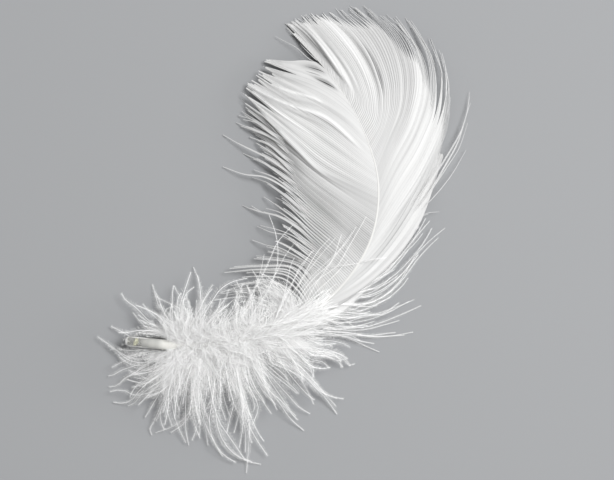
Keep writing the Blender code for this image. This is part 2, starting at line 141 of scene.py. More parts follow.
# Slits between neighbouring barbs: place among the guide barbs, shares of the length where a slit starts, is
# widest and ends (over 1 at the edge), width, and how far into the neighbours it is felt.
RIGHT_SLITS = (
    (8.35, 0.54, 0.95, 1.6, 1.15, 0.45),
    (9.6, 0.62, 0.98, 1.6, 0.6, 0.35),
    (7.4, 0.56, 0.95, 1.6, 0.7, 0.3),
    (6.85, 0.72, 1.0, 1.6, 0.4, 0.25),
    (10.4, 0.7, 1.0, 1.6, 0.3, 0.25),
    (12.5, 0.8, 1.0, 1.6, 0.4, 0.35),
    (14.15, 0.88, 1.0, 1.6, 0.4, 0.4),
    (15.6, 0.88, 1.0, 1.6, 0.4, 0.35),
    (17.5, 0.9, 1.0, 1.6, 0.3, 0.3),
    (14.4, 0.34, 0.46, 0.66, 0.16, 0.25),
)
LEFT_SLITS = (
    (17.6, 0.62, 0.86, 1.5, 0.5, 0.3),
    (16.35, 0.8, 1.0, 1.6, 0.4, 0.3),
    (14.85, 0.86, 1.0, 1.6, 0.3, 0.3),
    (13.15, 0.7, 0.96, 1.6, 0.55, 0.3),
    (12.2, 0.76, 1.0, 1.6, 0.5, 0.3),
    (18.6, 0.16, 0.34, 0.56, 0.2, 0.2),
    (18.25, 0.26, 0.42, 0.6, 0.12, 0.15),
    (17.95, 0.12, 0.3, 0.5, 0.22, 0.2),
)
# Soft folds, and places painted in shade: place near the shaft and at the tip, half width in places, start,
# top and end in shares of the length, height, and how much whiter the barbs are painted there, a painted
# highlight along a fold that catches the light. Below 0 it is painted shade.
RIGHT_FOLDS = (
    (18.2, 17.9, 0.75, 0.0, 0.35, 1.3, 0.9, 0.55),
    (19.4, 19.3, 0.7, 0.0, 0.4, 1.3, 0.0, -0.5),
    (17.35, 17.0, 0.4, 0.1, 0.5, 1.3, 0.0, -0.3),
    (17.0, 16.9, 0.2, 0.15, 0.35, 0.6, 0.12, 0.25),
    (15.7, 15.7, 0.7, 0.2, 0.75, 1.3, 0.3, 0.35),
    (14.4, 14.4, 0.22, 0.3, 0.5, 0.75, -0.1, -0.6),
    (14.9, 14.9, 0.35, 0.25, 0.6, 1.0, -0.3, -0.15),
    (12.6, 12.4, 0.5, 0.5, 0.85, 1.3, 0.0, -0.25),
    (11.2, 11.0, 0.6, 0.3, 0.6, 1.1, 0.25, 0.2),
    (9.0, 9.2, 0.5, 0.45, 0.75, 1.3, 0.2, -0.25),
    (6.5, 6.5, 1.2, 0.1, 0.5, 1.0, 0.2, 0.1),
)
LEFT_FOLDS = (
    (15.0, 14.0, 0.3, 0.08, 0.4, 1.3, 0.55, 0.75),
    (16.15, 15.3, 0.16, 0.42, 0.5, 1.3, 0.2, 0.7),
    (15.55, 14.7, 0.2, 0.3, 0.6, 1.0, 0.0, -0.2),
    (14.3, 13.6, 0.22, 0.35, 0.6, 1.0, -0.15, -0.3),
    (13.45, 13.35, 0.2, 0.4, 0.75, 1.3, 0.3, 0.6),
    (12.8, 12.9, 0.2, 0.5, 0.75, 1.0, 0.0, -0.3),
    (17.0, 16.7, 0.4, 0.3, 0.7, 1.2, 0.15, -0.2),
    (17.95, 17.8, 0.3, 0.1, 0.3, 0.6, -0.2, -0.4),
    (18.6, 18.5, 0.3, 0.15, 0.4, 0.7, -0.25, -0.35),
    # The last two rows lay broad painted shade over the thin web under the fold.
    (8.6, 8.8, 3.0, -0.3, 0.1, 0.85, 0.0, -0.26),
    (11.6, 11.4, 2.0, -0.2, 0.12, 0.42, 0.0, -0.2),
)

# Free barbs at the left vane's edge, one or a few that cling together: how many, tip height, x, y pairs out
# to the tip.
FRINGE = (
    (3, 1.0, (0, 15.9, -1.8, 17.4, -3.4, 18.8, -5.4, 19.9)),
    (3, 0.6, (0, 14.8, -1.8, 15.9, -4.5, 17.8, -7, 18.5)),
    (2, 0.8, (-0.4, 15.3, -1.8, 16.8, -3.5, 18.4, -5.4, 19.6)),
    (3, 0.2, (0.4, 13.9, -2, 15.4, -4.5, 16.5, -7.3, 17.7)),
    (3, 0.5, (1, 12.7, -1, 14.5, -3, 16.1, -5, 17.1)),
    (3, 0.5, (1.6, 11.2, 0, 12.4, -2.5, 14.4, -5.2, 15.6)),
    (3, 0.9, (1.8, 9.6, 0.5, 10.9, -1.5, 12.7, -4.3, 14.6)),
    (2, 0.4, (2, 8.8, 0, 10.5, -3, 12.5, -5, 13.5, -7, 14.5, -9.3, 15.8)),
    (3, 0.1, (2.4, 7.6, -1, 10.1, -3, 11.5, -6.3, 13.1)),
    (2, 0.8, (2.2, 6.6, 0.5, 7.9, -1.5, 9.3, -4.6, 10.6)),
    (2, 0.4, (2.6, 5.6, 0, 7.8, -3, 9.4, -6, 9.85, -9.3, 11)),
    (3, 0.6, (3.9, 3.3, 2, 5, -1, 7.4, -3, 8.7, -4.9, 9.3)),
    (2, 1.8, (3.9, 2.6, 1.5, 4.5, -0.5, 6, -1.3, 6.4)),
    (2, 0.9, (4, 1.2, 2, 2.8, -1, 5, -3.2, 6.3)),
    (2, 0.6, (4.2, -0.1, 2, 1.9, -1, 3.6, -3, 4.1, -4.9, 5.2)),
    (2, 0.1, (4.3, -0.4, 2, 1.7, -1, 3.5, -4, 4.3, -6.4, 5.2)),
    (1, 1.6, (2.4, 2, 1, 2.9, -0.8, 4.1, -2.8, 4.7)),
    (1, 1.0, (3.8, -1.4, 1.5, 0.4, -0.5, 1.3, -3.6, 2.3)),
    (1, 0.8, (0.5, 0.7, -1, 0.9, -2, 1.1, -4.1, 2)),
    (1, 2.6, (3.9, -2.1, 1.6, -0.6, -0.2, 0.4)),
    (1, 0.8, (4.2, -3.9, 1.2, -2.2, -0.9, -1.2, -2.5, -0.9, -4.9, -0.1)),
    (1, 1.4, (3.6, -4.3, 1.5, -3.3, -1, -2.8, -4.3, -2.4)),
)
# Free barbs along the right vane's edge, longer than their neighbours, and the lock that stands off it.
EDGE_BARBS = (
    (1, 0.3, (19.5, 29.5, 18.3, 31, 16.8, 32.8, 15.5, 34.1)),
    (1, 0.3, (20.4, 27.6, 18.5, 31.3, 17.5, 32.7, 16.7, 33.7)),
    (1, 0.4, (22.7, 26, 22, 27.8, 21, 29.8, 20, 31.6, 19, 33.1)),
    (1, 0.5, (23.8, 23.5, 23.6, 25.5, 23, 27.2, 22.3, 29, 21.8, 30.4)),
    (1, 0.8, (24.9, 20.5, 24.7, 24, 24.1, 26.6, 23.4, 28.7)),
    (1, 0.2, (14.2, 33.2, 12.8, 34.6, 11.8, 35.4)),
    (1, 0.2, (12.6, 33.1, 11, 34.7, 10, 35.5)),
    (2, 0.9, (18.6, 4.6, 20.9, 7.4, 23.3, 10.8, 25, 13.5, 26.6, 16.4, 27.5, 19.4, 27.9, 22.3)),
    (2, 1.4, (18.9, 3.6, 21.6, 6.8, 24, 10.8, 26.2, 14.8, 27.4, 18.2, 28.2, 20.5)),
    (1, 1.6, (21.5, 6.4, 24.4, 10.8, 26.4, 14, 27.1, 16, 27.6, 17.6)),
    (1, 1.0, (20, 3.9, 23, 7, 25.2, 9.8, 27.4, 13.5)),
    (2, 1.5, (16.5, -2.4, 19, 1.1, 20.3, 3.2, 21.4, 3.9, 23.3, 4.2)),
    (1, 0.8, (5.4, 26.4, 4, 27, 1.8, 28.9, 0, 30, -1.3, 30.8)),
    (1, 1.0, (5.2, 26.7, 4.2, 27.6, 3.2, 28.6, 2.4, 29.6)),
)

# Down. Each row: distance of the root along the shaft, tip height, how many more barbs lie with it, x, y
# pairs out to the tip. The rows of a table go round the shaft in turn, so that what grows between two of them
# can be worked out.
DOWN_ABOVE = (
    (7.2, 1.2, 1, (-18.2, -15.9, -21, -15.6, -22.9, -14.9, -24.3, -14, -26.2, -13.1)),
    (8.2, 5.2, 5, (-17.4, -14.75, -18.8, -14.4, -20.4, -14.15, -21.8, -13.95)),
    (8.5, 5.4, 3, (-17, -14.7, -19.2, -13.75, -21.8, -13.6, -23.6, -13.9, -24.8, -13.9)),
    (8.5, 2.4, 3, (-17, -15, -18.5, -13.8, -20.6, -12, -22.5, -10.1, -24.1, -8.9, -24.55, -8.1)),
    (8.8, 3.5, 3, (-17.3, -14.6, -19, -13.3, -20.4, -12.4, -22, -11.3)),
    (9.8, 6.5, 2, (-16.5, -13, -18.4, -11.7, -20.1, -10.6, -22.1, -9.8)),
    (9.0, 0.4, 2, (-16.3, -13.2, -18, -11.4, -19.1, -9.7, -19.7, -7.7, -20, -6.8)),
    (11.0, 3.0, 2, (-14.4, -11.6, -15.4, -10.4, -17, -9.7, -18.7, -8.9, -19.5, -8.5)),
    (10.8, 2.5, 2, (-14.4, -13, -14.8, -10.6, -15.4, -9, -16.3, -7.6, -16.6, -7)),
    (10.0, 5.0, 3, (-15.6, -14, -15.8, -11.5, -15.3, -8.9, -14.6, -6.7, -14, -4.9)),
    (10.3, 6.0, 2, (-15.4, -12, -15.2, -9.6, -14.6, -8, -13.5, -7.1)),
    (10.4, 8.5, 2, (-14.7, -13.5, -14.3, -11, -14.5, -8.2)),
    (11.5, 0.5, 3, (-12.2, -13.5, -12.3, -11, -12.6, -8.2, -13, -6, -13.8, -4.2)),
    (11.8, 4.5, 3, (-13, -13.2, -12, -11.3, -10.8, -9.2, -9.4, -7.3, -8, -6.4, -5.6, -5.8)),
    (13.0, 6.0, 3, (-11.8, -13, -10.5, -11.5, -9, -10.3, -7.6, -9)),
    (14.5, 9.2, 3, (-10.5, -13, -9.4, -10.6, -8.2, -7.4)),
    (16.5, 8.0, 3, (-8.8, -12.6, -7.3, -10.3, -6.2, -6.6)),
    (18.0, 7.0, 3, (-7, -12.8, -6.8, -10, -7.2, -7.6)),
    (19.5, 3.5, 3, (-5.4, -12.4, -5.8, -9, -7.2, -6.3)),
    (20.3, 6.0, 4, (-4.8, -12.2, -4.7, -9.5, -5.6, -6.8)),
    (21.2, 5.0, 4, (-3.8, -11.8, -3.4, -9, -4.2, -6.2)),
    (22.5, 3.2, 3, (-2.2, -9.5, -3.6, -6.6, -4.8, -4.6)),
    (24.5, 2.2, 3, (-0.8, -9.8, -2, -7, -3.4, -4.8)),
    (26.2, 1.6, 3, (1, -10, 0.1, -7.6, -1.2, -5.6)),
)
DOWN_BESIDE_VANE = (
    (25.5, 4.0, 2, (-1.5, -9.8, -5, -8.6, -8, -8.7, -10.5, -9.1)),
    (26.5, 3.0, 2, (-1.2, -7.8, -4, -6.4, -7.3, -7.2, -9.6, -8)),
    (27.5, 1.5, 2, (-0.3, -8.7, -3.5, -7.6, -6.5, -7.7, -9.6, -8.2)),
)
DOWN_ACROSS = (
    (17.0, 7.0, 0, (-5.6, -12.6, -4, -10, -2.1, -7, -1.1, -4, -0.95, -1.2, -1.4, 1.3, -2.3, 3.7)),
    (16.5, 8.0, 1, (-6.2, -11.5, -4.8, -8.2, -3.1, -5, -1.9, -2.4, -1, -0.4, 0, 0.8, 1.2, 2.1)),
    (19.0, 8.2, 0, (-4.6, -11, -3.2, -8, -1.5, -5.5, -0.4, -3.4, 0.4, -2, 1.4, -0.7)),
    (22.5, 8.6, 0, (-0.6, -9.6, 0.7, -7.2, 2, -5, 3.3, -3, 4.1, -1.7)),
    (22.0, 8.4, 1, (-0.2, -9.4, 1.2, -6.6, 2.3, -4.1, 4.4, -1.6)),
    (23.5, 8.2, 0, (0.5, -9, 2.2, -6.5, 3.6, -4, 5.2, -1.5, 6.8, 0.2)),
    (24.5, 8.0, 1, (1.8, -8.4, 3.6, -6, 6.6, -3.1, 9.2, -0.5, 10.7, 1.9)),
    (25.5, 7.8, 1, (3, -8.2, 5.1, -5.9, 7.9, -3.9, 9.4, -1.4, 12.2, 3.4)),
    (26.5, 7.6, 1, (4.2, -7.4, 6.6, -3.9, 8.8, -0.7, 10.1, 1.1)),
    (39.0, 7.3, 0, (12.4, -3.1, 15.2, -2.7)),
    (39.0, 7.2, 0, (9.2, -3.8, 7, -4.1)),
    (10.5, 5.0, 0, (-16.6, -13, -18, -12, -17.9, -11, -17.2, -10.1, -16.3, -10.3, -16, -11)),
)
DOWN_BELOW_QUILL = (
    (7.4, 3.2, 4, (-17.6, -16.4, -18.8, -16.5, -20.2, -16.5, -21.4, -16.5)),
    (7.6, 3.4, 2, (-18, -16.3, -19.8, -16.5, -21.8, -16.6, -23.9, -16.6, -24.9, -16.4)),
    (7.5, 1.6, 2, (
        -17.6, -16.9, -19.8, -17.8, -21.5, -18, -23.2, -17.8, -25.1, -16.8, -26.6, -15.7, -28.2, -14.65,
    )),
    (8.0, 3.3, 3, (-17.5, -16.6, -20.5, -17.2, -22.5, -17.6, -24, -18.2, -25.9, -19.2)),
    (9.0, 0.4, 3, (-17.4, -17.4, -20.5, -18.9, -22.5, -20, -24.1, -20.9, -25.2, -22, -26.6, -22.3)),
    (9.6, 3.0, 2, (-17, -18.4, -18.7, -20.6, -20.6, -20.9, -22.3, -20.2, -23.4, -20.5)),
    (9.8, 4.0, 2, (-16.6, -18.4, -18.6, -20.2, -20.6, -21.5, -22.5, -21.3, -23.6, -21)),
    (10.2, 5.5, 2, (-17.2, -18.8, -19.2, -20.6, -21, -21.6, -22.8, -22.1)),
    (10.6, 0.5, 2, (
        -16, -17.6, -18, -19.5, -20.6, -21.6, -22.2, -23.1, -23, -24.2, -24.4, -24.7, -25.9, -24.6,
    )),
    (10.3, 2.2, 3, (-15.8, -19.5, -17.8, -21.8, -20.2, -22.9, -22.4, -23.4, -24.5, -22.6, -26.3, -22.9)),
    (10.5, 4.4, 3, (-16, -18.8, -18.2, -21.2, -20, -22.9, -21.9, -24.8)),
    (9.8, 0.4, 2, (-16.5, -18.5, -17.8, -22.8, -18.9, -25.6, -19.7, -27.4, -20.4, -29.1, -20.1, -29.6)),
    (10.4, 2.0, 2, (-16.3, -19, -17.4, -22.4, -18.5, -25.2, -18.7, -27, -18.1, -28.7)),
    (10.8, 5.4, 2, (-16, -19.2, -17.2, -22.5, -17.4, -25.5, -17.9, -27.7)),
    (11.0, 1.0, 2, (-15.8, -18.5, -16.9, -22.5, -16.8, -25.4, -16.1, -28, -14.9, -30.7)),
    (10.9, 6.4, 3, (-16, -19, -16.4, -21.5, -16.3, -24.9)),
    (11.3, 0.4, 2, (-14.6, -19, -14.7, -22.5, -14.9, -26, -14.85, -29.2, -14.5, -31.1)),
    (11.8, 0.5, 2, (-13.4, -20, -13.8, -25, -14.9, -26.7, -16.3, -27.9, -18.1, -28.7, -19.5, -29.2)),
    (11.9, 3.0, 3, (-13.7, -19.5, -13.9, -23.5, -13.6, -26.3, -13.2, -28.2, -13.9, -30.2)),
    (12.4, 6.8, 3, (-12.6, -18, -12.7, -21.5, -12.7, -27.4)),
    (12.8, 0.6, 3, (-12.2, -19, -12.3, -22.5, -12.8, -25.4, -12, -28.2, -11.6, -31.1)),
)
DOWN_BELOW_SHAFT = (
    (12.9, 0.4, 2, (-11.8, -19, -12.4, -23.5, -12.1, -27.2, -11, -29.8, -9.4, -32.8)),
    (12.8, 2.0, 1, (-11.4, -19, -10.9, -23, -9.8, -27.2, -7.9, -30.2, -5.9, -33.3)),
    (13.4, 0.4, 2, (-10.6, -18.5, -10.3, -23.5, -10.1, -28, -8.7, -31.2, -6.1, -33.3, -3.6, -34)),
    (15.3, 5.8, 3, (-8.8, -18.5, -8.2, -22, -7.6, -24.5, -8.2, -27, -8.6, -28.9)),
    (14.8, 0.4, 2, (-8, -18, -7, -21.5, -6.1, -25, -5.3, -28.5, -5.4, -31, -5.8, -35.3)),
    (16.0, 2.5, 2, (-7.9, -19, -7.5, -22.6, -6.6, -25.2, -7.1, -27.2, -7.6, -29.1)),
    (16.5, 3.5, 1, (-7, -19, -6.6, -23, -6.2, -27.5, -6.8, -31.3)),
    (15.8, 1.5, 2, (-7.6, -19.5, -6.6, -23.5, -5.6, -27.2, -4.6, -29.4, -2.6, -32.6)),
    (16.5, 4.8, 2, (-6.4, -18.5, -5.1, -22.2, -3.9, -25.2, -4.8, -27.8)),
    (17.3, 3.0, 3, (-5.6, -18.5, -4.8, -22, -3.5, -23.9, -2, -26.2)),
    (18.0, 6.3, 3, (-4.9, -18, -3.2, -21.2, -1.1, -25.4)),
    (18.9, 0.4, 1, (-4.2, -18.5, -2.6, -22, -0.6, -24.8, 0.8, -26.9, 2.9, -28.9)),
    (19.5, 1.0, 3, (-3.4, -18.5, -1.2, -21.4, 0.9, -23.8, 2.1, -25.2, 3.8, -26.3)),
    (20.5, 4.4, 2, (-1.6, -17.6, 1, -19.6, 2.7, -21.3, 3.6, -23, 4.4, -24.7)),
    (21.0, 0.4, 2, (-1, -17.2, 2.3, -19.8, 4.8, -22.4, 6.4, -24.2, 7.9, -26.4)),
    (21.5, 2.0, 2, (-0.4, -17, 3.2, -20.6, 5.2, -22.7, 7, -23.6, 8.9, -24)),
    (22.5, 6.5, 3, (0.6, -15.8, 3.3, -18, 4.4, -19.6, 4.1, -20.9)),
    (23.0, 3.0, 3, (1.4, -16.4, 3.8, -18.8, 5.8, -19.4, 6.9, -19.2)),
    (23.3, 4.0, 3, (1.6, -16, 4, -17.9, 6, -18.5, 6.6, -19.3)),
    (23.7, 4.0, 3, (1.8, -15.4, 4.2, -17.4, 6.5, -17.3, 8.3, -17.9, 8.5, -19.2)),
    (24.0, 0.5, 4, (1.9, -15.2, 4.5, -16.4, 6.9, -17.2, 8.8, -17.9, 9.6, -19, 10.6, -18.8)),
    (24.2, 2.0, 4, (2.2, -14.6, 4.2, -16, 6.8, -16.6, 8.7, -17.5, 9.9, -19)),
)
DOWN_UNDER_VANE = (
    (24.8, 0.4, 1, (3, -14, 6, -14.5, 8.3, -14.5, 9.9, -15, 12, -16, 14.3, -17)),
    (25.2, 1.5, 1, (4, -13.7, 6.5, -14.3, 9.3, -14.6, 11, -15.2, 13.5, -15.7)),
    (26.0, 0.4, 2, (4, -13.4, 7.5, -13.9, 10, -14.1, 13, -14.7, 16, -14.6, 19.4, -14)),
    (26.2, 3.0, 1, (4.5, -13, 8, -13.5, 11, -13, 13.5, -12.3)),
    (26.5, 0.4, 2, (5, -12.5, 9, -13.2, 12.2, -13.2, 15.2, -12.3, 18.2, -11.1, 20.6, -10)),
    (27.5, 1.5, 2, (5.5, -11.9, 9.3, -12.5, 13, -12, 16, -10.8, 18.8, -9.3)),
    (28.4, 3.0, 3, (6.5, -11.2, 9.5, -11.8, 12.3, -11.4, 14.6, -11.2, 17.2, -9.5)),
    (28.8, 2.0, 3, (7.5, -10.8, 11, -10.9, 14, -9.6, 16, -8.7)),
    (29.5, 1.0, 3, (8.5, -9.8, 12.2, -9.6, 15.2, -8.5, 17.6, -6.3)),
    (29.8, 0.4, 2, (8.5, -9.6, 12.3, -9.8, 15.2, -8.3, 17.6, -6, 19.7, -2.5, 22, -0.1, 24.2, 1.7)),
    (30.4, 1.0, 2, (9, -9, 13.8, -8, 17.4, -5.5, 20.2, -2.3)),
    (31.8, 1.5, 2, (11, -8, 14, -7, 17, -5, 19.3, -2.6, 21.1, -0.3, 22.2, 1.7)),
    (33.0, 0.5, 2, (11.6, -7, 14.6, -5.3, 17, -3, 19.5, 0, 21.9, 2.8)),
    (34.0, 1.0, 2, (12.3, -6.6, 15, -5, 17.8, -2.1, 19.9, 0.7, 21.3, 3.2)),
    (34.4, 1.6, 2, (12.6, -6, 15.5, -3.8, 17.9, -1, 19.9, 1.9)),
)
DOWN_POINTS = 15
# Rise of a down barb above the straight run from root to tip, and the power with which it falls off: of those
# that arch, and of those that lie low, under the vane.
ARCHED, LOW = (1.3, 1.0), (0.0, 2.4)
# How far the barbs that run back along the quill dip, and the height that those over it are brought down to.
UNDER_QUILL, QUILL_UNDERSIDE = 1.3, 3.25
# The strip over the bare quill that is kept clear: it fades out beside the quill, before its end, and where
# the down starts.
CLEAR_BESIDE, CLEAR_BEFORE, CLEAR_UP_TO = (0.74, 0.84), (-0.35, -0.1), (4.9, 6.2)
# Least and greatest height of a down barb, off the floor and within the part.
DOWN_HEIGHTS = (0.1, 9.75)
# Each lock: its rows, how they rise, how many barbs fill it, length of the barbules on its long barbs, and
# distance between them.
LOCKS = {
    "down_above_quill": (DOWN_ABOVE, ARCHED, 250, 0.9, 0.115),
    "down_beside_vane": (DOWN_BESIDE_VANE, ARCHED, 60, 0.7, 0.12),
    "down_below_quill": (DOWN_BELOW_QUILL, ARCHED, 160, 1.0, 0.115),
    "down_below_shaft": (DOWN_BELOW_SHAFT, ARCHED, 160, 1.0, 0.115),
    "down_under_vane": (DOWN_UNDER_VANE, LOW, 16, 0.5, 0.12),
}

# Quill, all measured from its end: pairs of distance and outer radius, the places of its rings of points, the
# radius of its bare part, the thickness of its wall and the ends of its hollow.
QUILL_OUTLINE = (
    (0.0, 0.3), (0.04, 0.44), (0.12, 0.55), (0.26, 0.65), (0.5, 0.72), (0.9, 0.76), (1.4, 0.77), (3.0, 0.78),
    (7.0, 0.78), (8.6, 0.74), (9.7, 0.66), (10.8, 0.5),
)
QUILL_STEPS = np.array([
    0.0, 0.04, 0.12, 0.26, 0.5, 0.9, 1.4, 1.9, 2.4, 2.7, 3.0, 3.3,
    3.6, 3.9, 4.3, 4.7, 5.1, 5.5, 5.9, 6.4, 7.0, 8.6, 9.7, 10.8,
])
QUILL_RADIUS, QUILL_WALL, QUILL_HOLLOW = 0.77, 0.1, (0.2, 3.2)
# The ring of dry pith in the hollow: its two ends, its radius, and how far it leans along the quill for its
# width.
RING_ENDS, RING_RADIUS, RING_SLANT = (1.42, 1.86), 0.64, 0.25
# The core of pith: pairs of distance and radius.
PITH = ((3.3, 0.25), (3.4, 0.45), (3.6, 0.6), (4.0, 0.64), (6.0, 0.66), (8.6, 0.62), (9.7, 0.52), (10.4, 0.4))
# Sides of the quill's wall, of what is in it, and of the shaft.
WALL_SIDES, PITH_SIDES, STEM_SIDES = 40, 24, 12

# The camera looks straight down from here. What lies at SCALE_HEIGHT fills the frame over FRAME_WIDTH.
CAMERA_PLACE = (3.375, -0.075, 450.0)
SCALE_HEIGHT, FRAME_WIDTH, SENSOR = 4.0, 92.1, 36.0

# Outlines of what is carried along a line, as pairs of aside and up, anticlockwise.
FLAT_TOPPED = 0.8 * np.array([(1.0, -1.0), (1.0, 1.0), (-1.0, 1.0), (-1.0, -1.0)])
WEB = np.array([(1.0, 0.0), (0.35, 0.4), (0.0, 0.9), (-0.35, 0.4), (-1.0, 0.0), (0.0, -0.35)])


def smooth(knots, rows, at):
    """Cubic curve through rows at knots, read at these places, sloped by the chords next to each knot."""
    knots, rows, at = np.asarray(knots, float), np.asarray(rows, float), np.asarray(at, float)
    slopes = np.gradient(rows, knots, axis=0)
    i = np.clip(np.searchsorted(knots, at) - 1, 0, len(knots) - 2)
    step = knots[i + 1] - knots[i]
    u = (at - knots[i]) / step
    shape = (-1,) + (1,) * (rows.ndim - 1)
    u, step = u.reshape(shape), step.reshape(shape)
    return (
        rows[i] * (1 + 2 * u) * (1 - u) ** 2
        + rows[i + 1] * u * u * (3 - 2 * u)
        + slopes[i] * step * u * (1 - u) ** 2
        - slopes[i + 1] * step * u * u * (1 - u)
    )


def chords(points):
    """Distance of each point from the first, summed along the chords."""
    return np.append(0.0, np.cumsum(np.linalg.norm(np.diff(points, axis=0), axis=1)))


SHAFT_CHORDS = chords(SHAFT_LINE)
SHAFT_LENGTH = SHAFT_CHORDS[-1]


def on_shaft(distance):
    """Points of the shaft's centreline at these distances from the quill's end."""
    return smooth(SHAFT_CHORDS, SHAFT_LINE, np.clip(distance, 0.0, SHAFT_LENGTH))


def shaft_radius(distance):
    """The shaft's radius at these distances from the quill's end, straight from pair to pair."""
    return np.interp(distance, *zip(*SHAFT_RADIUS))


def evenly(points, count):
    """The smooth line through the points, as this many points evenly spaced along it."""
    fine = smooth(chords(points), points, np.linspace(0.0, chords(points)[-1], 8 * count))
    along = chords(fine)
    even = np.linspace(0.0, along[-1], count)
    return np.stack([np.interp(even, along, fine[:, i]) for i in range(fine.shape[1])], axis=-1)


def unit(vectors):
    """The vectors divided by their lengths."""
    return vectors / np.maximum(np.linalg.norm(vectors, axis=-1, keepdims=True), 1e-9)


def axes(lines, across=None):
    """Unit vectors along the lines, to their left in the level or towards across, and up from both."""
    along = unit(np.gradient(lines, axis=1))
    aside = np.cross(UP, along) if across is None else across
    aside = unit(aside - along * np.sum(aside * along, axis=-1, keepdims=True))
    return along, aside, np.cross(along, aside)


def shares(lines):
    """Share of its line's length that every point stands at, from 0 to 1, as one row for all the lines."""
    return np.linspace(0.0, 1.0, lines.shape[1])[None]


def ease(value, start, end):
    """0 at start, 1 at end, 3 * u ** 2 - 2 * u ** 3 between them, and level outside."""
    u = np.clip((value - start) / (end - start), 0.0, 1.0)
    return u * u * (3.0 - 2.0 * u)


def hump(value, start, top, end):
    """ease(start, top) * (1 - ease(top, end)): 0 before start, 1 at top and 0 after end."""
    return ease(value, start, top) * (1.0 - ease(value, top, end))


def even_noise(count, grain, seed):
    """A smooth row of numbers about 0, with a new free value every grain places."""
    free = np.random.default_rng(seed).normal(size=int(count / grain) + 3)
    return smooth(np.arange(len(free)), free, np.arange(count) / grain)


def points_at(lines, line, share):
    """The points at these shares of the lines' length, and the number of the line's own point before each."""
    at = share * (lines.shape[1] - 1)
    low = np.minimum(at.astype(int), lines.shape[1] - 2)
    part = (at - low)[..., None]
    return lines[line, low] * (1.0 - part) + lines[line, low + 1] * part, low


def part_of(lines, ends, starts=0.0):
    """The stretch of each line between these shares of its length, with as many points as before."""
    starts, ends = np.reshape(starts, (-1, 1)), np.minimum(ends, 1.0)[:, None]
    return points_at(lines, np.arange(len(lines))[:, None], starts + (ends - starts) * shares(lines))[0]


# Meshes.
def band(steps, sides):
    """Four-sided faces between the rings of a bar, anticlockwise from outside. Corner i of ring j is point
    j * sides + i."""
    ring, corner = np.meshgrid(np.arange(steps - 1) * sides, np.arange(sides), indexing="ij")
    after = (corner + 1) % sides
    return np.stack(
        [ring + corner, ring + after, ring + sides + after, ring + sides + corner], axis=-1
    ).reshape(-1, 4)


def bars(lines, width, height, outline, across=None, white=None):
    """Closed bars: each point is its line's point + width times the outline's first number aside + height
    times its second number up. The root is capped and the tip drawn to a point. Returns points, four-sided
    faces, three-sided faces, and white and tone for every point."""
    count, steps = lines.shape[:2]
    sides = len(outline)
    along, aside, up = axes(lines, across)
    rings = (
        lines[:, :, None]
        + (width[:, :, None] * outline[:, 0])[..., None] * aside[:, :, None]
        + (height[:, :, None] * outline[:, 1])[..., None] * up[:, :, None]
    )
    tips = lines[:, -1:] + along[:, -1:] * width[:, -1:, None]
    points = np.concatenate([rings.reshape(count, -1, 3), tips], axis=1)
    first = np.arange(count)[:, None, None] * points.shape[1]
    corner, last = np.arange(sides), (steps - 1) * sides
    tip = np.stack([last + corner, last + (corner + 1) % sides, np.full(sides, steps * sides)], axis=-1)
    root = np.stack([np.zeros(sides - 2, int), corner[2:], corner[1:-1]], axis=-1)
    white = np.full((count, steps), 0.5) if white is None else white
    white = np.concatenate([np.repeat(white, sides, axis=1), white[:, -1:]], axis=1)
    tone = chance.random(count)
    return (
        points.reshape(-1, 3),
        (first + band(steps, sides)).reshape(-1, 4),
        (first + np.concatenate([tip, root])).reshape(-1, 3),
        np.stack([white.ravel(), np.repeat(tone, points.shape[1])], axis=-1),
    )


def slivers(base, tip, half_width, tone):
    """Closed slivers of four faces each: a kite from base to tip, half_width to each side at 0.45 of its
    length, whose two side corners stand 0.3 half_width over the line between its ends."""
    forward = unit(tip - base)
    aside = unit(np.cross(UP, forward) + 1e-6)
    up = np.cross(forward, aside)
    widest = base + (tip - base) * 0.45 + up * (0.3 * half_width)
    aside = aside * half_width
    corners = np.stack([base, widest - aside, widest + aside, tip], axis=1)
    faces = np.array([(0, 1, 2), (1, 3, 2), (0, 3, 1), (0, 2, 3)])
    first = np.arange(len(base))[:, None, None] * 4
    marks = np.stack([np.full(4 * len(base), BARBULE_WHITE), np.repeat(tone, 4)], axis=-1)
    return corners.reshape(-1, 3), np.zeros((0, 4), int), (first + faces).reshape(-1, 3), marks


def barbules(lines, spacing, length, lean, half_width, lift=0.25, tip_share=0.45):
    """Short side hairs on both sides of every line. A hair's way is cos(lean) * along + sin(lean) * out,
    where out is aside, turned about the line by a chance angle of about lift. Its length falls to tip_share
    at the line's tip."""
    along, aside, up = axes(lines)
    reach = np.linalg.norm(np.diff(lines, axis=1), axis=2).sum(axis=1)
    number = np.maximum((reach * (1.0 - BARBULES_FROM) / spacing).astype(int), 1)
    line = np.repeat(np.arange(len(lines)), number)
    place = np.arange(number.sum()) - np.repeat(np.cumsum(number) - number, number)
    share = BARBULES_FROM + (1.0 - BARBULES_FROM) * (place + chance.random(len(place))) / number[line]
    base, low = points_at(lines, line, share)
    found = []
    for side in (1.0, -1.0):
        angle = lean + chance.normal(0.0, 0.16, len(line))
        roll = chance.normal(0.0, lift, len(line))
        out = side * np.cos(roll)[:, None] * aside[line, low] + np.sin(roll)[:, None] * up[line, low]
        way = np.cos(angle)[:, None] * along[line, low] + np.sin(angle)[:, None] * out
        grown = (
            length[line] * (1.0 - (1.0 - tip_share) * ease(share, 0.55, 1.0))
            * chance.uniform(0.65, 1.2, len(line))
        )
        grown *= ease(share, BARBULES_FROM - 0.02, BARBULES_FROM + 0.1) * 0.5 + 0.5
        tip = base + way * grown[:, None]
        tip[:, 2] = np.maximum(tip[:, 2], TIP_LOW)
        found.append(slivers(base, tip, half_width, chance.random(len(line))))
    return found


def add(name, data):
    """A new object of this data, in the scene."""
    found = bpy.data.objects.new(name, data)
    bpy.context.scene.collection.objects.link(found)
    return found


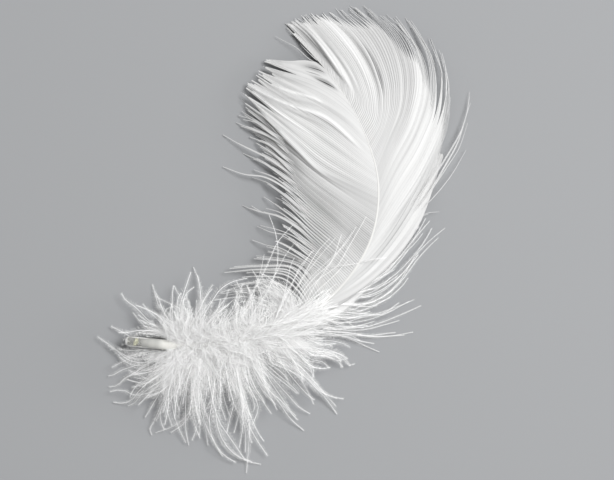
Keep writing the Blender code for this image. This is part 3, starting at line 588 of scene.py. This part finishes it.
def put(name, parts, material, rounded=False):
    """One mesh object from several sets of points, faces and marks, in metres, with nothing under the floor.
    The marks become the mesh's numbers white and tone."""
    first = np.cumsum([0] + [len(part[0]) for part in parts])
    points = np.concatenate([part[0] for part in parts]) * MM
    points[:, 2] = np.maximum(points[:, 2], 0.0)
    quads = np.concatenate([part[1] + n for part, n in zip(parts, first)])
    tris = np.concatenate([part[2] + n for part, n in zip(parts, first)])
    marks = np.concatenate([part[3] for part in parts])
    mesh = bpy.data.meshes.new(name)
    mesh.vertices.add(len(points))
    mesh.vertices.foreach_set("co", points.astype(np.float32).ravel())
    corners = np.concatenate([quads.ravel(), tris.ravel()]).astype(np.int32)
    mesh.loops.add(len(corners))
    mesh.loops.foreach_set("vertex_index", corners)
    sizes = np.repeat((4, 3), (len(quads), len(tris)))
    mesh.polygons.add(len(sizes))
    mesh.polygons.foreach_set("loop_start", (np.cumsum(sizes) - sizes).astype(np.int32))
    mesh.update(calc_edges=True)
    mesh.validate()
    if rounded:
        mesh.shade_smooth()
    else:
        mesh.shade_flat()
    for column, mark in enumerate(("white", "tone")):
        values = marks[:, column].astype(np.float32)
        mesh.attributes.new(mark, "FLOAT", "POINT").data.foreach_set("value", values)
    mesh.materials.append(material)
    found = add(name, mesh)
    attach(found, "root")
    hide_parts("feather")


# Materials.
def new_material(name):
    """A new material, its node tree and its shader's sockets."""
    material = bpy.data.materials.new(name)
    material.use_nodes = True
    return material, material.node_tree, material.node_tree.nodes["Principled BSDF"].inputs


def number_of(tree, name):
    """A number of the mesh, read point by point."""
    node = tree.nodes.new("ShaderNodeAttribute")
    node.attribute_name = name
    return node.outputs["Fac"]


def cloud(tree, scale, detail):
    """Soft noise from 0 to 1 on object coordinates."""
    where, node = tree.nodes.new("ShaderNodeTexCoord"), tree.nodes.new("ShaderNodeTexNoise")
    node.inputs["Scale"].default_value = scale
    node.inputs["Detail"].default_value = detail
    tree.links.new(where.outputs["Object"], node.inputs["Vector"])
    return node.outputs["Fac"]


def worked_out(tree, operation, *terms):
    """The operation on these terms. Each is another node's number or a plain one."""
    node = tree.nodes.new("ShaderNodeMath")
    node.operation = operation
    for socket, term in zip(node.inputs, terms):
        if isinstance(term, float):
            socket.default_value = term
        else:
            tree.links.new(term, socket)
    return node.outputs[0]


def stretched(tree, number, low, high):
    """low + (high - low) * number."""
    node = tree.nodes.new("ShaderNodeMapRange")
    node.inputs["To Min"].default_value = low
    node.inputs["To Max"].default_value = high
    tree.links.new(number, node.inputs["Value"])
    return node.outputs["Result"]


def three_colours(tree, number, low, half, high, half_at):
    """The colour low at 0, half at half_at and high at 1, blended in between."""
    node = tree.nodes.new("ShaderNodeValToRGB")
    ramp = node.color_ramp.elements
    ramp[0].color, ramp[1].color = (*low, 1.0), (*high, 1.0)
    ramp.new(half_at).color = (*half, 1.0)
    tree.links.new(number, node.inputs["Fac"])
    return node.outputs["Color"]


def keratin(name, thin, plain, thick, roughness, grain):
    """White keratin. Its colour goes from thin, the greyest, over plain to thick, the whitest, with
    white - 0.25 * tone * noise, so that it follows the mesh's number white, which on the vanes carries
    painted highlights and painted shade, and is a little greyer by its barb's tone, in soft streaks."""
    material, tree, shader = new_material(name)
    shader["Roughness"].default_value = roughness
    shader["IOR"].default_value = 1.54
    shader["Specular IOR Level"].default_value = 0.3
    streak = worked_out(tree, "MULTIPLY", number_of(tree, "tone"), cloud(tree, grain, 3.0))
    white = worked_out(tree, "MULTIPLY_ADD", streak, -0.25, number_of(tree, "white"))
    tree.links.new(three_colours(tree, white, thin, plain, thick, 0.44), shader["Base Color"])
    return material


def clear_horn(name):
    """The quill's wall. It lets less light through, and more of it is white, with the greater of the mesh's
    numbers white, a painted highlight along its outline, and tone, where it turns milky. Its colour follows
    tone."""
    material, tree, shader = new_material(name)
    shader["IOR"].default_value = 1.5
    white, tone = number_of(tree, "white"), number_of(tree, "tone")
    clear = stretched(tree, worked_out(tree, "MAXIMUM", white, tone), 0.9, 0.0)
    tree.links.new(clear, shader["Transmission Weight"])
    milk = three_colours(tree, tone, (0.99, 0.988, 0.965), (0.68, 0.68, 0.655), (0.8, 0.795, 0.755), 0.6)
    tree.links.new(milk, shader["Base Color"])
    tree.links.new(stretched(tree, cloud(tree, 900.0, 2.0), 0.04, 0.16), shader["Roughness"])
    return material


# Vanes.
def from_shaft(root, pairs, count):
    """The smooth line in plan from the shaft at root through x, y pairs, and the shaft's height there."""
    start = on_shaft([root])[0]
    return evenly(np.vstack([start[:2], np.reshape(pairs, (-1, 2))]), count), start[2]


def guide_lines(guides):
    """Guide barbs as evenly spaced points. Their height is tip + (root - tip) * (1 - share ** bow)."""
    share = np.linspace(0.0, 1.0, BARB_POINTS)
    lines = []
    for root, height, bow, pairs in guides:
        flat, top = from_shaft(root, pairs, BARB_POINTS)
        lines.append(np.column_stack([flat, height + (top - height) * (1.0 - share**bow)]))
    return np.array(lines)


def vane_lines(guides, spacing, ends, *traits):
    """All barbs of a vane, read across the guide barbs. Their roots stand the spacing apart along the shaft,
    from the first of the ends to the last. Returns the lines, their place among the guides, and each of the
    traits for them."""
    roots = np.array([guide[0] for guide in guides])
    fine = np.arange(*ends, FINE_STEP)
    passed = np.cumsum(FINE_STEP / np.interp(fine, roots, np.broadcast_to(spacing, roots.shape)))
    at = np.interp(np.arange(0.0, passed[-1]), passed, fine)
    lines = smooth(roots, guide_lines(guides), at)
    lines[:, 0] = on_shaft(at)
    place = np.interp(at, roots, np.arange(len(roots)))
    return lines, place, *(np.interp(at, roots, trait) for trait in traits)


def opened(lines, place, step, slits):
    """Moves barbs away from slits, by width * hump(share) * exp(-distance / reach)."""
    _, aside, _ = axes(lines, step)
    for centre, start, top, end, width, reach in slits:
        off = place[:, None] - centre
        apart = width * hump(shares(lines), start, top, end) * np.exp(-np.abs(off) / reach) * np.sign(off)
        lines = lines + aside * apart[..., None]
    return lines


def folded(lines, place, folds):
    """Height, and whiteness of painted highlight (below 0 painted shade), that folds add along the barbs:
    each times hump(place) * hump(share), summed.
    """
    share = shares(lines)
    lift, white = np.zeros(lines.shape[:2]), np.zeros(lines.shape[:2])
    for near, far, half, start, top, end, height, more in folds:
        centre = near + (far - near) * ease(share, 0.45, 0.95)
        shape = hump(place[:, None], centre - half, centre, centre + half) * hump(share, start, top, end)
        lift += height * shape
        white += more * shape
    return lift, white


def clinging(lines, hooked, tuft_of, seed, strength, within):
    """How far each barb is drawn towards the middle of its tuft, in barbs, growing over the share within
    after it comes free."""
    count = len(lines)
    tuft = np.round(np.arange(count) / tuft_of + 0.35 * even_noise(count, 5.0, seed)) * tuft_of
    pull = np.clip(tuft - np.arange(count), -0.5 * tuft_of, 0.5 * tuft_of)[:, None]
    return pull * ease(
        shares(lines), hooked[:, None] - 0.04, np.minimum(hooked[:, None] + within, 1.0)
    ) * strength


def set_in_tufts(lines, place, hooked, tufts, slits, folds):
    """The barbs drawn together in tufts, by line + step to the next barb * clinging, and moved aside at
    slits. Also the way up from them, and what their folds add."""
    step = np.gradient(lines, axis=0)
    _, _, up = axes(lines, step)
    moved = lines + step * clinging(lines, hooked, **tufts)[..., None]
    return opened(moved, place, step, slits), up, *folded(lines, place, folds)


def ripples(lines, rows):
    """The sum over the rows of size * even_noise(grain, seed) * ease(share, start, end), for each barb."""
    return sum(
        size * even_noise(len(lines), grain, seed)[:, None] * ease(shares(lines), start, end)
        for size, grain, seed, start, end in rows
    )


def right_vane_shape(lines, place, hooked):
    """The right vane's barbs with their tufts, slits, folds and ripples. Returns the lines and their
    whiteness. It varies in streaks, single barbs taken by chance lie thinner half way out, the folds add
    painted highlights and painted shade, and the rows near the base are painted lighter."""
    share, row = shares(lines), place[:, None]
    tufts = {"tuft_of": 3.1, "seed": 3, "strength": 0.16 + 0.3 * ease(row, 12.0, 14.0), "within": 1.0}
    moved, up, lift, white = set_in_tufts(lines, place, hooked, tufts, RIGHT_SLITS, RIGHT_FOLDS)
    ripple = ripples(lines, ((0.06, 2.2, 5, 0.1, 0.5), (0.1, 6.0, 6, 0.15, 0.6)))
    streaks = ripples(lines, ((0.1 - 0.05 * ease(row, 8.0, 5.0), 1.5, 25, 0.0, 0.4),))
    thin = (np.random.default_rng(35).random((len(lines), 1)) < 0.14) * hump(share, 0.05, 0.45, 0.95)
    # Painted light: the rows near the base are made whiter; the folds add painted highlight and shade.
    white = PLAIN_WHITE + 0.08 * ease(row, 9.0, 5.0) + white + streaks - 0.22 * thin
    return moved + up * (lift + ripple)[..., None], white


def left_vane_shape(lines, place, hooked):
    """The left vane's barbs, as those of the right. It folds over along one barb, at the place edge: what
    lies above that rides up over the thin fringe below. The fold's rim gets a painted highlight, and the web
    just under it painted shade."""
    share, row = shares(lines), place[:, None]
    strength = 0.45 + 0.35 * hump(row, 1.0, 4.5, 9.0)
    tufts = {"tuft_of": 2.7, "seed": 13, "strength": strength, "within": 0.35 + ease(row, 8.0, 11.0)}
    moved, up, lift, white = set_in_tufts(lines, place, hooked, tufts, LEFT_SLITS, LEFT_FOLDS)
    edge = 11.85 + 0.4 * ease(share, 0.6, 0.9)
    lift = lift + 0.3 * ease(row, edge - 0.1, edge + 0.15) * ease(share, 0.4, 0.7)
    lift = lift + 0.25 * hump(row, edge - 0.05, edge + 0.25, edge + 0.8) * ease(share, 0.36, 0.66)
    lift = lift - (
        0.2 * (1.0 - ease(row, edge - 0.4, edge - 0.1)) * ease(row, 8.0, 10.5) * ease(share, 0.5, 0.8)
    )
    # Painted highlight along the fold's rim.
    white = white + 0.65 * hump(row, edge - 0.1, edge + 0.1, edge + 0.4) * ease(share, 0.3, 0.45)
    # Painted shade on the web just under the fold.
    white = white - (
        0.35 * (1.0 - ease(row, edge - 0.15, edge)) * ease(row, 7.0, 10.0) * ease(share, 0.52, 0.7)
    )
    ripple = ripples(lines, ((0.05, 2.0, 15, 0.1, 0.5), (0.08, 5.0, 16, 0.15, 0.6)))
    streaks = ripples(lines, ((0.07, 1.5, 26, 0.0, 0.4),))
    return moved + up * np.sign(up[..., 2:]) * (lift + ripple)[..., None], PLAIN_WHITE + white + streaks


def web(lines, white, hooked, ends, cover, closed_to, free_half, fade, free_white):
    """The bars of a vane. Where barbs hook together a bar is 0.5 * gap * cover to each side. Over the share
    fade it narrows to a bare barb, free_half to each side, and gets whiter by free_white. Next to the shaft
    every web is closed, less and less up to the share closed_to."""
    cut = part_of(np.dstack([lines, white]), ends)
    lines, white = cut[..., :3], cut[..., 3]
    hooked, ends, cover, closed_to, free_white = (
        np.reshape(value, (-1, 1)) for value in (hooked, ends, cover, closed_to, free_white)
    )
    share = shares(lines) * ends
    step = np.gradient(lines, axis=0)
    along, _, _ = axes(lines)
    step = step - along * np.sum(step * along, axis=-1, keepdims=True)
    across = step * np.sign(np.sum(step * np.cross(UP, along), axis=-1, keepdims=True))
    gap = np.linalg.norm(step, axis=-1)
    closed = 1.0 - ease(share, 0.02, closed_to)
    cover = cover + np.maximum(CLOSED_COVER - cover, 0.0) * closed
    width = np.clip(0.5 * gap * cover, *BAR_HALF_WIDTHS)
    bare = free_half * (1.0 - 0.45 * ease(share / ends, 0.6, 1.0))
    freed = ease(share, hooked - 0.03, hooked + fade)
    white = white + free_white * freed
    width = width * (1.0 - freed) + np.minimum(bare, width) * freed
    height = np.clip((0.55 + 0.3 * freed) * width, *BAR_HEIGHTS) * (0.3 + 0.7 * ease(gap, 0.12, 0.36))
    return bars(lines, width, height, WEB, across, white=np.clip(white, 0.0, 1.0))


def free_lines(rows, sheets, spread):
    """Lines of free barbs. Their height is tip + (vane - tip) * (1 - share ** 1.6), where vane is that of the
    nearest point of a vane, and a little less at the start. The barbs of a tuft start spread apart and end at
    different lengths."""
    vanes = np.concatenate([sheet.reshape(-1, 3) for sheet in sheets])
    share = np.linspace(0.0, 1.0, BARB_POINTS)
    lines = []
    for number, height, pairs in rows:
        flat = evenly(np.reshape(pairs, (-1, 2)), BARB_POINTS)
        start = vanes[np.argmin(np.sum((vanes[:, :2] - flat[0]) ** 2, axis=1)), 2]
        side = unit(np.gradient(flat, axis=0)[:, ::-1] * (-1.0, 1.0))
        for i in range(number):
            off = (i - 0.5 * (number - 1)) * spread
            way = off * (1.0 - 0.45 * ease(share, 0.0, 0.6)) + chance.normal(0.0, 0.1) * ease(share, 0.6, 1.0)
            end = 1.0 if i == number // 2 else chance.uniform(0.75, 0.97)
            z = height + (start - height) * (1.0 - share**1.6) + chance.uniform(-0.05, 0.12) * share
            z = z - 0.18 * (1.0 - ease(share, 0.0, 0.35))
            line = np.column_stack([flat + side * way[:, None], z])
            lines.append(part_of(line[None], np.array([end]))[0])
    return np.array(lines)


# Down.
def down_lines(rows, rise):
    """The main barb of each row, from the shaft to the tip. Its height is
    tip + (root - tip) * (1 - share) ** fall, and arch * sin(pi * share) * (1 - 0.6 * share) on top of that.
    Barbs that run back along the quill dip instead."""
    arch, fall = rise
    share = np.linspace(0.0, 1.0, DOWN_POINTS)
    lines = []
    for root, height, _, pairs in rows:
        flat, top = from_shaft(root, pairs, DOWN_POINTS)
        lift = height + (top - height) * (1.0 - share) ** fall
        clear = ease(root, 8.4, 10.4)
        lift = lift + arch * clear * np.sin(np.pi * share) * (1.0 - 0.6 * share)
        lift = lift - UNDER_QUILL * (1.0 - clear) * hump(share, 0.0, 0.3, 1.0)
        lines.append(np.column_stack([flat, lift]))
    return np.array(lines)


def wander(lines, size):
    """Lets each line stray by two slow waves aside and one up and down, growing from the root."""
    count, share = len(lines), shares(lines)

    def wave(turns):
        """A sine of about this many turns to the line, a little more or less and starting anywhere."""
        return np.sin(
            2 * np.pi * (turns * chance.uniform(0.6, 1.4, (count, 1)) * share + chance.random((count, 1)))
        )

    _, aside, up = axes(lines)
    grow = ease(share, 0.0, 0.5) * size[:, None]
    moved = lines + aside * (grow * (0.88 * wave(0.6) + 0.12 * wave(1.8)))[..., None]
    moved = moved + up * (grow * 0.7 * wave(0.8))[..., None]
    moved[..., 2] = np.maximum(moved[..., 2], STRAY_LOW)
    return moved


def swing(lines, angle):
    """Turns each line about the upright through its root: cos * x - sin * y, sin * x + cos * y."""
    x, y = np.moveaxis(lines[..., :2] - lines[:, :1, :2], -1, 0)
    cos, sin = np.cos(angle)[:, None], np.sin(angle)[:, None]
    turned = np.stack([cos * x - sin * y, sin * x + cos * y], axis=-1)
    return np.concatenate([lines[:, :1, :2] + turned, lines[..., 2:]], axis=-1)


def tilted(lines, spread):
    """Raises or lowers each line by a chance height * share."""
    return lines + UP * chance.normal(0.0, spread, (len(lines), 1, 1)) * shares(lines)[..., None]


def lock_of(rows, rise):
    """The main barbs of these rows and those that lie with them, a little turned, tilted and shorter."""
    main = down_lines(rows, rise)
    more = np.repeat(np.arange(len(rows)), [row[2] for row in rows])
    reach = np.linalg.norm(main[more, -1] - main[more, 0], axis=1)
    beside = tilted(swing(main[more], chance.normal(0.0, 1.5, len(more)) / reach), 0.6)
    beside = part_of(beside, chance.uniform(0.55, 0.95, len(more)))
    return np.concatenate([main, wander(beside, chance.uniform(0.2, 0.7, len(more)))])


def between(rows, rise, number):
    """Barbs between neighbouring rows: row * (1 - blend) + next row * blend, a little turned and shorter."""
    main = down_lines(rows, rise)
    row = chance.integers(0, len(rows) - 1, number)
    blend = chance.random((number, 1, 1))
    lines = main[row] * (1.0 - blend) + main[row + 1] * blend
    lines = tilted(swing(lines, chance.normal(0.0, 0.3, number)), 1.2)
    lines = part_of(lines, chance.uniform(0.2, 0.6, number))
    return wander(lines, chance.uniform(0.25, 0.8, number))


def crown_lines(number, first, last):
    """Short barbs that rise from the shaft and arch over it and out to one side or the other:
    start + way * reach * share, raised by rise * sin(0.72 * pi * share) ** 1.2. Also the length of the
    barbules on each."""
    root = first + (last - first) * chance.random(number) ** 1.3
    start = on_shaft(root)
    along = unit(on_shaft(root + 0.5) - start)
    left = np.cross(UP, along)
    start = start + left * chance.normal(0.0, 0.6, (number, 1)) * ease(root, 8.0, 11.0)[:, None]
    angle = chance.uniform(-1.0, 1.0, number) * (2.2 - 1.9 * ease(root, 12.0, 22.0))
    reach = chance.uniform(2.2, 4.8, number) + 3.0 * ease(root, 14.0, 22.0)
    way = np.cos(angle)[:, None] * along + np.sin(angle)[:, None] * left
    share = np.linspace(0.0, 1.0, DOWN_POINTS)[None, :, None]
    rise = chance.uniform(0.5, 1.6, (number, 1, 1))
    lines = start[:, None] + way[:, None] * reach[:, None, None] * share
    lines = lines + UP * rise * np.sin(np.pi * share * 0.72) ** 1.2
    curl = 0.3 + chance.uniform(0.0, 1.1, number) * (1.0 - ease(root, 16.0, 22.0))
    return wander(lines, curl), 0.85 - 0.5 * ease(root, 17.0, 24.0)


def clear_of_quill(points):
    """Brings what lies over the bare quill to just under it: z - 0.95 * over * (z - QUILL_UNDERSIDE), where
    over is 1 near the quill in plan and 0 away from it."""
    quill, root = SHAFT_LINE[0], SHAFT_LINE[1]
    way = (root - quill)[:2] / np.linalg.norm((root - quill)[:2])
    off = points[..., :2] - quill[:2]
    beside, on = np.abs(off[..., 0] * way[1] - off[..., 1] * way[0]), off @ way
    over = (1.0 - ease(beside, *CLEAR_BESIDE)) * ease(on, *CLEAR_BEFORE) * (1.0 - ease(on, *CLEAR_UP_TO))
    points = points.copy()
    points[..., 2] -= 0.95 * over * np.maximum(points[..., 2] - QUILL_UNDERSIDE, 0.0)
    return points


def down(lines, hair, spacing, thick, half_width):
    """Down barbs, thick * (1 - 0.4 * share) to each side, more or less, with barbules of the length hair."""
    lines[..., 2] = np.clip(lines[..., 2], *DOWN_HEIGHTS)
    width = thick * (1.0 - 0.4 * shares(lines)) * chance.uniform(0.8, 1.2, (len(lines), 1))
    parts = [bars(lines, width, width, FLAT_TOPPED, white=np.ones(lines.shape[:2]))]
    hair = hair * chance.uniform(0.75, 1.25, len(lines))
    parts += barbules(lines, spacing, hair, lean=1.05, half_width=half_width, tip_share=0.3)
    return [(clear_of_quill(points), *rest) for points, *rest in parts]


# Quill and shaft.
def tube(distance, radius, sides):
    """A closed round bar on the shaft's line, with a point at both ends: at each distance a ring
    centre + radius * (cos * aside + sin * up)."""
    centre = on_shaft(distance)
    along = unit(np.gradient(centre, axis=0))
    aside = unit(np.cross(UP, along))
    up = np.cross(along, aside)
    turn = 2 * np.pi * np.arange(sides) / sides
    around = np.cos(turn)[:, None] * aside[:, None] + np.sin(turn)[:, None] * up[:, None]
    rings = centre[:, None] + radius[:, None, None] * around
    ends = np.array([centre[0] - along[0] * (0.3 * radius[0]), centre[-1] + along[-1] * (0.3 * radius[-1])])
    points = np.vstack([rings.reshape(-1, 3), ends])
    here, last = np.arange(sides), (len(distance) - 1) * sides
    after = (here + 1) % sides
    tris = np.vstack([
        np.stack([after, here, np.full(sides, len(points) - 2)], axis=-1),
        np.stack([last + here, last + after, np.full(sides, len(points) - 1)], axis=-1),
    ])
    return points, band(len(distance), sides), tris, np.full((len(points), 2), 0.5)


def inside_out(part):
    """The same surface facing inwards, for the hollow of a wall."""
    return part[0], part[1][:, ::-1], part[2][:, ::-1], part[3]


# Finishes: the greyest, plain and whitest colour of the mark white, roughness, and how fine the streaks are.
# On the vanes the mark white carries painted highlights and painted shade. The vane and the down are one
# white
# keratin: the vane's is given greyer and the down's whiter, a painted difference that makes up for the shade
# among the down's fibres.
vane_white = keratin(
    "white vane keratin", (0.36, 0.36, 0.36), (0.64, 0.64, 0.636), (0.86, 0.86, 0.855), 0.5, 120.0
)
down_white = keratin("white down", (0.84, 0.84, 0.835), (0.96, 0.96, 0.955), (0.99, 0.99, 0.985), 0.6, 90.0)
shaft_white = keratin(
    "ivory shaft", (0.62, 0.615, 0.595), (0.71, 0.707, 0.69), (0.78, 0.78, 0.77), 0.5, 300.0
)
pith_cream = keratin("cream pith", (0.86, 0.84, 0.72), (0.96, 0.955, 0.9), (0.98, 0.98, 0.96), 0.6, 900.0)
ring_yellow = keratin("yellow pith", (0.93, 0.91, 0.6), (0.97, 0.96, 0.7), (0.98, 0.975, 0.8), 0.5, 900.0)
horn = clear_horn("clear horn")

# Right vane.
lines, place, hooked = vane_lines(RIGHT_BARBS, RIGHT_SPACING, RIGHT_ROOTS, RIGHT_HOOKED)
hooked = hooked + 0.02 * even_noise(len(hooked), 2.5, 8) * ease(place, 5.0, 7.0)
right_sheet, whiteness = right_vane_shape(lines, place, hooked)
ends = 1.0 - 0.05 * np.abs(even_noise(len(lines), 1.3, 7)) * ease(place, 5.0, 7.0)
right_web = web(
    right_sheet, whiteness, hooked, ends,
    cover=RIGHT_COVER, closed_to=0.4, free_half=0.06, fade=0.08, free_white=0.35 * ease(place, 11.0, 14.0),
)
put("right_vane", [right_web], vane_white)

# Left vane, and side hairs on what is free of its barbs.
lines, place, hooked, ends, cover = vane_lines(
    LEFT_BARBS, LEFT_SPACING, LEFT_ROOTS, LEFT_HOOKED, LEFT_ENDS, LEFT_COVER
)
left_sheet, whiteness = left_vane_shape(lines, place, hooked)
ends = ends * (1.0 - 0.05 * np.abs(even_noise(len(ends), 1.3, 17)))
left_web = web(
    left_sheet, whiteness, hooked, ends,
    cover=cover, closed_to=0.4 + 0.3 * (1.0 - ease(place, 1.5, 6.0)),
    free_half=0.1, fade=0.2, free_white=0.35,
)
put("left_vane", [left_web], vane_white)
loose_ends, hair = part_of(left_sheet, ends, hooked * 0.9), 0.45 - 0.25 * ease(place, 3.0, 11.0)
put("vane_fluff", barbules(loose_ends, spacing=0.16, length=hair, lean=0.75, half_width=0.018), vane_white)

# Free barbs of the edges. Each table has its distance between the barbs of a tuft, half width and taper.
loose = []
for rows, spread, thick, taper in ((FRINGE, 0.19, 0.11, 0.5), (EDGE_BARBS, 0.2, 0.075, 0.72)):
    lines = free_lines(rows, (right_sheet, left_sheet), spread)
    share = shares(lines)
    uneven = chance.uniform(0.85, 1.15, (len(lines), 1))
    width = thick * (1.0 - taper * share) * (0.2 + 0.8 * ease(share, 0.0, 0.3)) * uneven
    lines[..., 2] = np.maximum(lines[..., 2], FREE_LOW)
    loose.append(bars(lines, width, 0.6 * width, FLAT_TOPPED))
    loose += barbules(
        lines, spacing=0.18, length=np.full(len(lines), 0.2), lean=0.6, half_width=0.016, lift=0.3
    )
put("free_barbs", loose, vane_white)

# Down. The barbs that fill a lock are finer than its long ones, and their barbules are wider and further
# apart.
for name, (rows, rise, number, hair, spacing) in LOCKS.items():
    shown, filling = lock_of(rows, rise), between(rows, rise, number)
    lock = down(shown, hair, spacing, thick=0.05, half_width=0.0098)
    put(name, lock + down(filling, hair, spacing=0.19, thick=0.04, half_width=0.0115), down_white)
across = lock_of(DOWN_ACROSS, ARCHED)
put("down_across", down(across, hair=0.35, spacing=0.14, thick=0.038, half_width=0.008), down_white)
crown, hair = crown_lines(number=570, first=6.7, last=27.0)
put("crown_down", down(crown, hair, spacing=0.24, thick=0.04, half_width=0.014), down_white)

# Quill: a wall that is clear at the end and turns milky, a slanting ring of pith, and a core of pith further
# in. The wall is painted whitest along its outline seen from above and round its rim, a painted highlight for
# the bright edge of clear horn seen edge-on, and milky in three steps with faint rings.
outer = np.interp(QUILL_STEPS, *zip(*QUILL_OUTLINE))
hollow = np.linspace(*QUILL_HOLLOW, 12)
inner = np.interp(hollow, QUILL_STEPS, outer) - QUILL_WALL
wall = [tube(QUILL_STEPS, outer, WALL_SIDES), inside_out(tube(hollow, inner, WALL_SIDES))]
for points, _, _, marks in wall:
    along = points[:, 0] - SHAFT_LINE[0, 0]
    centre = on_shaft(np.interp(points[:, 0], SHAFT_LINE[:2, 0], SHAFT_CHORDS[:2]))
    beside = np.abs(points[:, 1] - centre[:, 1]) / QUILL_RADIUS
    rings = 0.08 * np.sin(14.0 * along) * hump(along, 2.4, 3.2, 4.6)
    # Painted highlight: the wall is whiter and less clear along its outline seen from above and round its
    # end.
    outline = np.maximum(ease(beside, 0.68, 0.92), 1.0 - ease(along, 0.05, 0.4))
    marks[:, 0] = outline * (1.0 - ease(along, 3.0, 4.5))
    marks[:, 1] = (
        0.3 * ease(along, 2.0, 2.7) + 0.35 * ease(along, 2.7, 4.2) + 0.35 * ease(along, 4.6, 5.8) + rings
    )
put("quill_wall", wall, horn, rounded=True)
ring = tube(np.linspace(*RING_ENDS, 5), RING_RADIUS * np.array([0.93, 1.0, 1.0, 1.0, 0.93]), PITH_SIDES)
ring[0][:, 0] += RING_SLANT * (ring[0][:, 1] - SHAFT_LINE[0, 1])
put("quill_ring", [ring], ring_yellow, rounded=True)
distance, radius = np.array(PITH).T
put("quill_pith", [tube(distance, radius, PITH_SIDES)], pith_cream, rounded=True)

# Shaft. From the vanes on it sinks by up to 0.6 of its radius, so that the barbs hide more of it.
distance = np.append(np.arange(7.0, SHAFT_LENGTH - 0.4, 0.8), SHAFT_LENGTH)
stem = tube(distance, shaft_radius(distance), STEM_SIDES)
at = np.append(np.repeat(distance, STEM_SIDES), distance[[0, -1]])
stem[0][:, 2] -= 0.6 * shaft_radius(at) * ease(at, 16.0, 26.0)
put("shaft", [stem], shaft_white, rounded=True)

# Floor, lights and camera, in metres.
floor_mesh = bpy.data.meshes.new("floor")
floor_mesh.from_pydata([(-1, -1, 0), (1, -1, 0), (1, 1, 0), (-1, 1, 0)], [], [(0, 1, 2, 3)])
floor = add("floor", floor_mesh)
paper, _, finish = new_material("pale floor")
finish["Base Color"].default_value = (0.335, 0.341, 0.35, 1.0)
finish["Roughness"].default_value = 0.95
finish["Specular IOR Level"].default_value = 0.1
floor_mesh.materials.append(paper)


def lamp(name, place, size, watts):
    """A square area light that faces the feather."""
    light = bpy.data.lights.new(name, "AREA")
    light.size = size
    light.energy = watts
    found = add(name, light)
    found.location = place
    found.rotation_euler = (Vector((0.0, 0.0, 0.0)) - Vector(place)).to_track_quat("-Z", "Y").to_euler()


lamp("key", place=(0.2, 0.12, 0.6), size=0.2, watts=3.8)
lamp("side", place=(0.45, 0.0, 0.2), size=0.15, watts=0.35)
world = bpy.data.worlds.new("studio")
bpy.context.scene.world = world
world.use_nodes = True
world.node_tree.nodes["Background"].inputs["Color"].default_value = (1.0, 1.0, 1.0, 1.0)
world.node_tree.nodes["Background"].inputs["Strength"].default_value = 0.34

camera_data = bpy.data.cameras.new("camera")
camera_data.sensor_width = SENSOR
camera_data.lens = SENSOR * (CAMERA_PLACE[2] - SCALE_HEIGHT) / FRAME_WIDTH
camera_data.clip_start = 0.02
camera_data.clip_end = 10.0
camera = add("camera", camera_data)
camera.location = [value * MM for value in CAMERA_PLACE]
bpy.context.scene.camera = camera
bpy.context.scene.view_settings.view_transform = "Standard"
